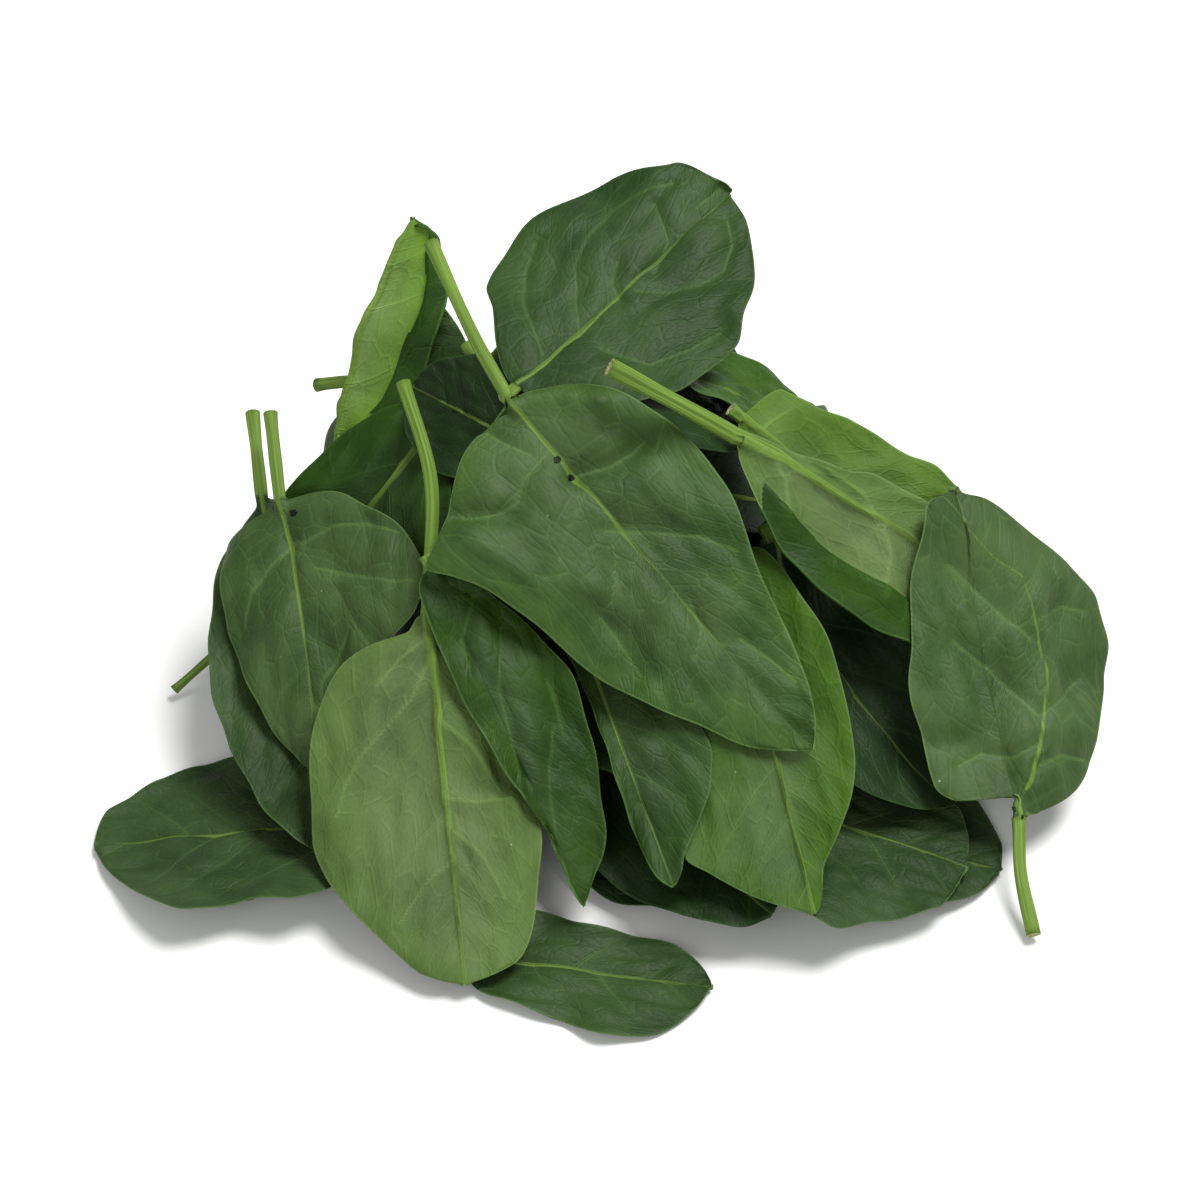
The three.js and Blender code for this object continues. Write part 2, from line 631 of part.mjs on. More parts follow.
// The leaves, from the bottom of the heap outwards. base and tip are pixels of the picture where
// seen is true, and places on the surface below where it isn't.
const HEAP = [
  // A flat leaf under the middle
  ["core_flat", {
    ...CORE, base: [-24, 2], tip: [24, -2], width: 30, arch: 0, cup: [0, 0], fold: [0, 0], wave: 0,
    under: true,
  }],
  // Leaves lying on the surface round the foot of the heap
  ["left_floor_pale", {
    seen: true, base: [420, 830], tip: [238, 893], facing: [0, 90], heights: [2, 2], width: 32,
    under: true, arch: 5,
    margins: [
      null,
      [[400, 852], [360, 862], [318, 873], [280, 887], [250, 896]],
    ],
  }],
  ["left_floor", {
    seen: true, base: [370, 823], tip: [94, 846], facing: [0, 90], heights: [4, 2], width: 42,
    arch: 14, fine: true,
    margins: [
      [[300, 740], [235, 757], [200, 765], [160, 778], [128, 795], [105, 815], [94, 830]],
      [[340, 880], [290, 895], [245, 897], [210, 908], [185, 909], [150, 897], [115, 878], [97, 858]],
    ],
  }],
  ["front_floor", {
    seen: true, base: [470, 955], tip: [712, 988], facing: [0, 90], heights: [2, 2], stalk: 8,
    width: 31, fullest: 0.5, ends: [2, 2.3], arch: 16, fine: true,
    margins: [
      [
        [440, 960], [472, 985], [520, 1005], [560, 1020], [600, 1033], [640, 1036], [675, 1025],
        [700, 1005],
      ],
      [[470, 910], [540, 910], [580, 923], [640, 935], [690, 955], [706, 970]],
    ],
  }],
  ["right_floor_back", {
    seen: true, base: [800, 800], tip: [1000, 872], facing: [0, 90], heights: [8, 2], width: 44,
    arch: 8,
  }],
  ["right_floor", {
    seen: true, base: [775, 802], tip: [966, 868], facing: [0, 90], heights: [8, 2], width: 44,
    arch: 14, fine: true,
    margins: [
      [[830, 925], [870, 922], [920, 912], [955, 895]],
      [[840, 790], [900, 798], [955, 805], [966, 830]],
    ],
  }],
  ["centre_floor", {
    seen: true, base: [560, 810], tip: [768, 930], facing: [0, 90], heights: [8, 2], width: 24,
    arch: 10,
  }],
  ["centre_dark", {
    seen: true, base: [585, 745], tip: [772, 914], facing: [0, 80], heights: [14, 3], width: 34,
    arch: 10,
  }],
  ["back_left_floor", { base: [-30, 48], tip: [-50, 78], facing: [180, 80], width: 40 }],
  ["back_centre_floor", { base: [10, 55], tip: [-12, 98], facing: [180, 80], width: 42 }],
  ["back_right_floor", { base: [32, 45], tip: [56, 66], facing: [180, 80], width: 44 }],
  // Hidden leaves that carry the heap
  ["core_1", {
    ...CORE, base: [-30, 30], tip: [28, 20], width: 42, arch: 40, cup: [-20, -20], fold: [-10, -10],
  }],
  ["core_2", { ...CORE, base: [25, 55], tip: [0, -5], width: 38, arch: 50, fold: [-20, -20] }],
  ["core_3", { ...CORE, base: [55, 0], tip: [-5, 22], width: 38, arch: 50, fold: [-25, -25] }],
  ["core_4", { ...CORE, base: [-38, 5], tip: [15, 35], width: 38, arch: 50, fold: [-25, -25] }],
  ["core_5", { ...CORE, base: [0, 60], tip: [6, 5], width: 38, arch: 40, fold: [-25, -25] }],
  ["core_6", { ...CORE, base: [38, -35], tip: [-20, -20], width: 40, arch: 50, fold: [-25, -25] }],
  ["core_7", { ...CORE, base: [42, 38], tip: [-12, 20], width: 36, arch: 40, fold: [10, 10] }],
  ["core_8", { ...CORE, base: [-32, 42], tip: [22, 15], width: 36, arch: 40, fold: [-12, -12] }],
  ["core_9", { ...CORE, base: [45, -8], tip: [-2, -12], width: 36, arch: 50, fold: [-20, -20] }],
  ["core_10", { ...CORE, base: [-42, -4], tip: [8, 2], width: 36, arch: 50, fold: [-15, -15] }],
  // Leaves leaning on the back and the sides
  ["back_left", {
    base: [-24, 38], tip: [-38, 80], heights: [54, 4], stalk: 4, facing: [200, 45], level: true,
    width: 42,
  }],
  ["back_right", {
    base: [22, 38], tip: [34, 76], heights: [50, 3], stalk: 4, facing: [160, 45], level: true,
    width: 42,
  }],
  ["back_centre", {
    base: [-5, 40], tip: [8, 86], heights: [62, 4], stalk: 4, facing: [180, 45], level: true,
    width: 44,
  }],
  ["side_right", {
    base: [50, 15], tip: [80, 34], heights: [30, 4], facing: [100, 50], level: true, width: 42,
  }],
  ["side_left", {
    base: [-42, 22], tip: [-62, 46], heights: [34, 4], facing: [250, 50], level: true, width: 36,
  }],
  // Behind and beside the top
  ["back_right_dark", {
    seen: true, base: [620, 350], tip: [757, 405], facing: [30, 70], heights: [56, 50], stalk: 10,
    width: 34,
  }],
  ["back_right_vivid", {
    seen: true, base: [680, 372], tip: [820, 450], facing: [40, 60], heights: [55, 45], stalk: 8,
    width: 24,
    margins: [
      null,
      [[700, 350], [725, 335], [747, 334], [765, 342], [785, 358], [800, 382], [812, 410]],
    ],
  }],
  ["back_stem_leaf", {
    seen: true, base: [352, 382], tip: [470, 380], cut: [[318, 386]], facing: [-20, 60],
    heights: [40, 54], width: 34,
  }],
  ["top_back_left", {
    seen: true, level: true, base: [380, 436], tip: [421, 218], facing: [-65, 30],
    heights: [36, 74], width: 24, fold: [-40, -40], under: true, fine: true,
    margins: [
      [[415, 400], [424, 360], [427, 330], [425, 290], [420, 255], [419, 232]],
      [[345, 425], [352, 390], [362, 350], [372, 310], [384, 275], [400, 245], [412, 225]],
    ],
  }],
  ["left_stem_leaf", {
    seen: true, base: [214, 652], tip: [380, 570], cut: [[172, 686]], facing: [-20, 50],
    level: true, heights: [9, 18], width: 20, stalkRadius: 0.9,
  }],
  ["left_lower", {
    seen: true, base: [262, 500], tip: [322, 852], cut: [[253, 415]], facing: [-30, 50],
    heights: [34, 4], width: 38, fine: true,
    margins: [
      [
        [256, 505], [240, 530], [220, 560], [212, 600], [208, 640], [212, 690], [225, 735],
        [240, 765], [258, 800], [280, 825], [305, 845],
      ],
      null,
    ],
  }],
  ["right_dark", {
    seen: true, base: [775, 540], tip: [952, 806], facing: [30, 55], heights: [36, 6], stalk: 4,
    width: 46,
  }],
  ["right_behind", {
    seen: true, base: [742, 418], tip: [965, 590], facing: [30, 50], heights: [53, 33], stalk: 3,
    width: 30, under: true, fine: true,
    margins: [
      null,
      [
        [731, 400], [735, 388], [748, 375], [765, 371], [785, 390], [812, 408], [850, 422],
        [880, 440], [905, 457], [935, 470], [955, 487],
      ],
    ],
  }],
  ["left_pale", {
    seen: true, level: true, base: [452, 418], tip: [300, 600], facing: [-20, 50],
    heights: [50, 28], width: 40, under: true, fine: true,
    margins: [
      [[430, 407], [400, 404], [370, 418], [340, 437], [318, 458], [300, 475], [284, 492], [262, 530]],
      [[446, 440], [450, 470], [447, 520], [432, 565], [400, 600]],
    ],
  }],
  ["left_upper", {
    seen: true, base: [280, 503], tip: [322, 775], cut: [[265, 409]], facing: [-20, 50],
    level: true, heights: [40, 12], width: 42, bow: 20, fullest: 0.36, ends: [2.4, 1.6],
    fold: [9, 9], cup: [-26, -26], fine: true,
    margins: [
      [
        [268, 505], [245, 515], [230, 545], [221, 590], [226, 625], [240, 665], [255, 700],
        [275, 735], [300, 762],
      ],
      [
        [295, 492], [330, 490], [365, 503], [405, 530], [425, 570], [418, 610], [390, 640],
        [350, 670], [330, 715], [326, 755],
      ],
    ],
  }],
  ["front_right_pale", {
    seen: true, base: [728, 552], tip: [814, 914], facing: [10, 50], heights: [40, 4], stalk: 4,
    width: 40, under: true, fine: true,
    margins: [
      [[705, 640], [700, 700], [705, 760], [690, 820], [684, 855], [710, 872], [745, 892], [785, 908]],
      [
        [752, 538], [775, 560], [804, 600], [830, 645], [847, 700], [854, 750], [852, 790],
        [840, 830], [824, 870],
      ],
    ],
  }],
  ["front_centre", {
    seen: true, base: [560, 580], tip: [675, 893], facing: [0, 50], heights: [40, 8], level: true,
    stalk: 8, width: 34, fine: true,
    margins: [
      [[560, 640], [580, 680], [600, 735], [620, 790], [640, 845], [660, 880]],
      [[640, 640], [690, 700], [710, 745], [710, 780], [698, 820], [682, 860]],
    ],
  }],
  ["under_top", {
    seen: true, base: [507, 415], tip: [720, 640], cut: [[469, 345]], facing: [0, 60],
    heights: [58, 35], width: 42,
  }],
  ["top_small", {
    seen: true, base: [528, 448], tip: [412, 386], facing: [-30, 60], heights: [58, 54], stalk: 8,
    width: 26,
  }],
  ["top_back", {
    seen: true, level: true, base: [518, 394], tip: [730, 180], facing: [-10, 72],
    heights: [64, 82], stalk: 4, width: 48, fullest: 0.45, ends: [2.2, 2.4], fold: [9, 9],
    cup: [-26, -26], fine: true,
    margins: [
      [
        [560, 398], [620, 408], [690, 385], [738, 345], [746, 315], [753, 290], [755, 260],
        [745, 215], [735, 190],
      ],
      [
        [505, 375], [495, 330], [492, 308], [485, 287], [500, 260], [525, 225], [560, 202],
        [610, 180], [660, 168], [700, 162],
      ],
    ],
  }],
  ["front_pale", {
    seen: true, base: [428, 615], tip: [465, 985], cut: [[403, 380], [431, 482]], facing: [0, 45],
    heights: [42, 2], width: 46, fullest: 0.55, ends: [1.8, 2.3], under: true, fold: [0, 0],
    cup: [-16, -16], fine: true,
    margins: [
      [
        [410, 632], [370, 645], [340, 665], [320, 700], [311, 740], [309, 790], [313, 840],
        [325, 875], [350, 910], [385, 945], [420, 975],
      ],
      [[440, 640], [480, 720], [510, 770], [540, 830], [538, 880], [535, 925], [525, 955], [505, 972]],
    ],
  }],
  ["front_folded", {
    seen: true, base: [432, 570], tip: [585, 905], stalk: 3, facing: [0, 45], heights: [48, 6],
    width: 32, fine: true,
    margins: [
      [[420, 600], [445, 660], [470, 710], [500, 765], [530, 805], [550, 838], [575, 868], [584, 890]],
      [[470, 575], [500, 600], [545, 640], [575, 690], [590, 740], [600, 800], [599, 850], [592, 890]],
    ],
  }],
  ["top_front", {
    seen: true, base: [512, 405], tip: [812, 750], cut: [[430, 231], [475, 336]], facing: [0, 55],
    heights: [65, 28], width: 48, fullest: 0.3, ends: [2.6, 1.6], fold: [9, 9], cup: [-26, -26],
    fine: true,
    margins: [
      [
        [470, 430], [452, 455], [447, 500], [436, 535], [424, 566], [450, 575], [500, 598],
        [560, 645], [600, 680], [650, 705], [700, 725], [745, 745], [785, 752],
      ],
      [
        [545, 392], [590, 385], [640, 402], [690, 440], [722, 480], [745, 530], [768, 590],
        [795, 650], [812, 700], [818, 735],
      ],
    ],
  }],
  ["right_stalked", {
    seen: true, base: [742, 440], tip: [988, 590], cut: [[612, 366]], facing: [20, 55],
    heights: [56, 33], width: 34, ends: [2.6, 1.8], stalkRadius: 1.7, under: true, fine: true,
    margins: [
      [[745, 475], [765, 520], [790, 560], [820, 592], [860, 620], [905, 642], [950, 640]],
      [[800, 455], [840, 467], [880, 475], [925, 500], [960, 530]],
    ],
  }],
  ["right_hanging", {
    seen: true, level: true, base: [1026, 810], tip: [945, 496], cut: [[1039, 932], [1027, 870]],
    facing: [30, 45], heights: [14, 44], width: 42, fullest: 0.45, ends: [3.2, 2.0], fold: [9, 9],
    cup: [-26, -26], fine: true,
    margins: [
      [
        [1045, 822], [1060, 808], [1092, 806], [1088, 775], [1098, 730], [1105, 680], [1108, 640],
        [1098, 598], [1070, 565], [1030, 535], [990, 505], [965, 492],
      ],
      [
        [1015, 800], [1010, 812], [985, 806], [955, 800], [935, 785], [922, 735], [910, 700],
        [911, 640], [910, 580], [920, 540], [925, 510],
      ],
    ],
  }],
];

const group = new THREE.Group();
let order = 0;
for (const [name, values] of HEAP) {
  const leaf = { ...PLAIN, ...values };
  leaf.phase = (order * 0.618) % 1;
  leaf.bladeSteps = leaf.fine ? BLADE_STEPS.fine : BLADE_STEPS.plain;
  const mesh = new THREE.Mesh(leafGeometry(leaf, lay(leaf)), leaf.under ? PALE_GREEN : TOP_GREEN);
  mesh.name = name;
  group.add(mesh);
  order += 1;
}

// The middle of the heap's foot is the origin
const bounds = new THREE.Box3().setFromObject(group);
const middle = bounds.getCenter(new V());
for (const mesh of group.children) mesh.geometry.translate(-middle.x, -middle.y, -bounds.min.z);

export default group;
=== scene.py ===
import json
import math
from types import SimpleNamespace

import bpy
import numpy as np
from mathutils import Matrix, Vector

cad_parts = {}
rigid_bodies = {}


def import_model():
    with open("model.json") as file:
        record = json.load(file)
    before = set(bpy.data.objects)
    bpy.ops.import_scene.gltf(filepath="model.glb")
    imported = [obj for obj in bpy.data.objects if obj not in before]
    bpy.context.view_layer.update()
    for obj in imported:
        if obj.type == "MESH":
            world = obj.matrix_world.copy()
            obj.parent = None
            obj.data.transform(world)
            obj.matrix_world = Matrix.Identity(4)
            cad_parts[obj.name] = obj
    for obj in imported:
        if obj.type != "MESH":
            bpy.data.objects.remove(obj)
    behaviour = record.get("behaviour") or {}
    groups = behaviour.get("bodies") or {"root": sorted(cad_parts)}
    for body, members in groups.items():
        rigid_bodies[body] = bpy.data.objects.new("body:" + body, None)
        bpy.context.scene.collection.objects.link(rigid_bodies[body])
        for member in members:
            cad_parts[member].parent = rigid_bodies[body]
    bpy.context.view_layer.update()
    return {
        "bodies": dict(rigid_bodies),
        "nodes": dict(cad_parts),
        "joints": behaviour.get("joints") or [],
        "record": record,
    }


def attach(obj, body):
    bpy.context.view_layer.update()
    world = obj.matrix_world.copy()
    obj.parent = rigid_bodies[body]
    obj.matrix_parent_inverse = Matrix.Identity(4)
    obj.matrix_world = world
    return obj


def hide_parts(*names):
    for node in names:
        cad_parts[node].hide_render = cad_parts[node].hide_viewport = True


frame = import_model()

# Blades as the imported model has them, and how its source settles them
BLADE_THICKNESS = 0.7
CLEARANCE = 0.5
STALK_RADIUS = 1.35
TIP_HALF_WIDTH = 0.8
STIFFNESS = 3.0e4
CONTACT = 2.5e3
SETTLING_ROUNDS = 7
TRACING_ROUNDS = 3
CONTACT_ROUNDS = 16
CONTACT_REACH = 0.02
HOLD = 0.02
HOLD_ALL = 1e-7
SINK = 5
LEAST_UPRIGHT = 0.2
BEND_SPOTS = (11, 7)
MIDDLE_SHARE = 0.45
MARGIN_WAVES = 2.3
PHASE_STEP = 0.618
# Rows along a blade as packed, plain or fine, and steps from the midrib to a margin
PLAIN_ROWS, FINE_ROWS = 8, 12
PACKED_WALK, SMOOTH_WALK = 12, 48

# The camera of the picture, in whose pixels the leaves are placed
PICTURE_SIZE = 1200
PIXEL = 0.2
VIEW_ELEVATION = 45
VIEW_DISTANCE = 700
VIEW_TARGET = np.array([0.0, 0.0, 25.0])


def unit(v):
    return v / np.linalg.norm(v, axis=-1, keepdims=True)


def smoothstep(x, low, high):
    t = np.clip((x - low) / (high - low), 0, 1)
    return t * t * (3 - 2 * t)


def lerp(a, b, t):
    return a + (b - a) * t


def direction(azimuth, elevation):
    """Unit vector for an azimuth (0 towards the camera, 90 to the right) and an elevation."""
    a, e = math.radians(azimuth), math.radians(elevation)
    return np.array([math.sin(a) * math.cos(e), -math.cos(a) * math.cos(e), math.sin(e)])


TO_EYE = direction(0, VIEW_ELEVATION)
PICTURE_UP = unit(np.cross(TO_EYE, (1, 0, 0)))
EYE = VIEW_TARGET + VIEW_DISTANCE * TO_EYE


def sight_line(pixel):
    right = np.array([(pixel[0] - PICTURE_SIZE / 2) * PIXEL, 0, 0])
    up = (PICTURE_SIZE / 2 - pixel[1]) * PIXEL * PICTURE_UP
    return EYE, unit(right + up - VIEW_DISTANCE * TO_EYE)


def upright_line(place):
    return np.array([place[0], place[1], 0.0]), np.array([0.0, 0.0, -1.0])


def meet(line, point, normal):
    origin, along = line
    return origin + along * (np.dot(point - origin, normal) / np.dot(along, normal))


# Columns across a blade as packed: margins, middles of the halves, flanks and crest of the midrib
ACROSS = np.array([-1, -0.56, 0, 0, 0, 0.56, 1])
CREST = 3
RIB_FLANK = 1.5
RIB_HEIGHT = 1.0

PLAIN = dict(
    width=40, fullest=0.42, ends=(2.0, 1.7), margins=(None, None), tip_round=0,
    arch=20, bow=0, cup=(8, 8), fold=(4, 4), wave=0.9,
    stalk=22, stalk_radius=STALK_RADIUS, cut=None,
    facing=(0, 60), heights=None,
    seen=False, level=False, under=False, fine=False,
    tone="deep", detail="plain",
)


def leaf(name, base, tip, **values):
    """A leaf whose base and tip are places on the surface."""
    return SimpleNamespace(name=name, base=base, tip=tip, **{**PLAIN, **values})


def seen_leaf(name, base, tip, **values):
    """A leaf whose base and tip are pixels of the picture."""
    return leaf(name, base, tip, seen=True, margins=MARGINS.get(name, (None, None)), **values)


def core(name, base, tip, **values):
    """A hidden leaf that carries others: it lies about level and has a short stalk."""
    return leaf(name, base, tip, level=True, facing=(0, 90), stalk=8, **values)


# Margins that the picture shows, as pixels from base to tip, on each leaf's two sides
MARGINS = {
    "left_floor_pale": (
        None,
        [(400, 852), (360, 862), (318, 873), (280, 887), (250, 896)],
    ),
    "left_floor": (
        [(300, 740), (235, 757), (200, 765), (160, 778), (128, 795), (105, 815), (94, 830)],
        [(340, 880), (290, 895), (245, 897), (210, 908), (185, 909), (150, 897), (115, 878),
         (97, 858)],
    ),
    "front_floor": (
        [(440, 960), (472, 985), (520, 1005), (560, 1020), (600, 1033), (640, 1036), (675, 1025),
         (700, 1005)],
        [(470, 910), (540, 910), (580, 923), (640, 935), (690, 955), (706, 970)],
    ),
    "right_floor": (
        [(830, 925), (870, 922), (920, 912), (955, 895)],
        [(840, 790), (900, 798), (955, 805), (966, 830)],
    ),
    "back_right_vivid": (
        None,
        [(700, 350), (725, 335), (747, 334), (765, 342), (785, 358), (800, 382), (812, 410)],
    ),
    "top_back_left": (
        [(415, 400), (424, 360), (427, 330), (425, 290), (420, 255), (419, 232)],
        [(345, 425), (352, 390), (362, 350), (372, 310), (384, 275), (400, 245), (412, 225)],
    ),
    "left_lower": (
        [(256, 505), (240, 530), (220, 560), (212, 600), (208, 640), (212, 690), (225, 735),
         (240, 765), (258, 800), (280, 825), (305, 845)],
        None,
    ),
    "right_behind": (
        None,
        [(731, 400), (735, 388), (748, 375), (765, 371), (785, 390), (812, 408), (850, 422),
         (880, 440), (905, 457), (935, 470), (955, 487)],
    ),
    "left_pale": (
        [(430, 407), (400, 404), (370, 418), (340, 437), (318, 458), (300, 475), (284, 492),
         (262, 530)],
        [(446, 440), (450, 470), (447, 520), (432, 565), (400, 600)],
    ),
    "left_upper": (
        [(268, 505), (245, 515), (230, 545), (221, 590), (226, 625), (240, 665), (255, 700),
         (275, 735), (300, 762)],
        [(295, 492), (330, 490), (365, 503), (405, 530), (425, 570), (418, 610), (390, 640),
         (350, 670), (330, 715), (326, 755)],
    ),
    "front_right_pale": (
        [(705, 640), (700, 700), (705, 760), (690, 820), (684, 855), (710, 872), (745, 892),
         (785, 908)],
        [(752, 538), (775, 560), (804, 600), (830, 645), (847, 700), (854, 750), (852, 790),
         (840, 830), (824, 870)],
    ),
    "front_centre": (
        [(560, 640), (580, 680), (600, 735), (620, 790), (640, 845), (660, 880)],
        [(640, 640), (690, 700), (710, 745), (710, 780), (698, 820), (682, 860)],
    ),
    "top_back": (
        [(560, 398), (620, 408), (690, 385), (738, 345), (746, 315), (753, 290), (755, 260),
         (745, 215), (735, 190)],
        [(505, 375), (495, 330), (492, 308), (485, 287), (500, 260), (525, 225), (560, 202),
         (610, 180), (660, 168), (700, 162)],
    ),
    "front_pale": (
        [(410, 632), (370, 645), (340, 665), (320, 700), (311, 740), (309, 790), (313, 840),
         (325, 875), (350, 910), (385, 945), (420, 975)],
        [(440, 640), (480, 720), (510, 770), (540, 830), (538, 880), (535, 925), (525, 955),
         (505, 972)],
    ),
    "front_folded": (
        [(420, 600), (445, 660), (470, 710), (500, 765), (530, 805), (550, 838), (575, 868),
         (584, 890)],
        [(470, 575), (500, 600), (545, 640), (575, 690), (590, 740), (600, 800), (599, 850),
         (592, 890)],
    ),
    "top_front": (
        [(470, 430), (452, 455), (447, 500), (436, 535), (424, 566), (450, 575), (500, 598),
         (560, 645), (600, 680), (650, 705), (700, 725), (745, 745), (785, 752)],
        [(545, 392), (590, 385), (640, 402), (690, 440), (722, 480), (745, 530), (768, 590),
         (795, 650), (812, 700), (818, 735)],
    ),
    "right_stalked": (
        [(745, 475), (765, 520), (790, 560), (820, 592), (860, 620), (905, 642), (950, 640)],
        [(800, 455), (840, 467), (880, 475), (925, 500), (960, 530)],
    ),
    "right_hanging": (
        [(1045, 822), (1060, 808), (1092, 806), (1088, 775), (1098, 730), (1105, 680), (1108, 640),
         (1098, 598), (1070, 565), (1030, 535), (990, 505), (965, 492)],
        [(1015, 800), (1010, 812), (985, 806), (955, 800), (935, 785), (922, 735), (910, 700),
         (911, 640), (910, 580), (920, 540), (925, 510)],
    ),
}

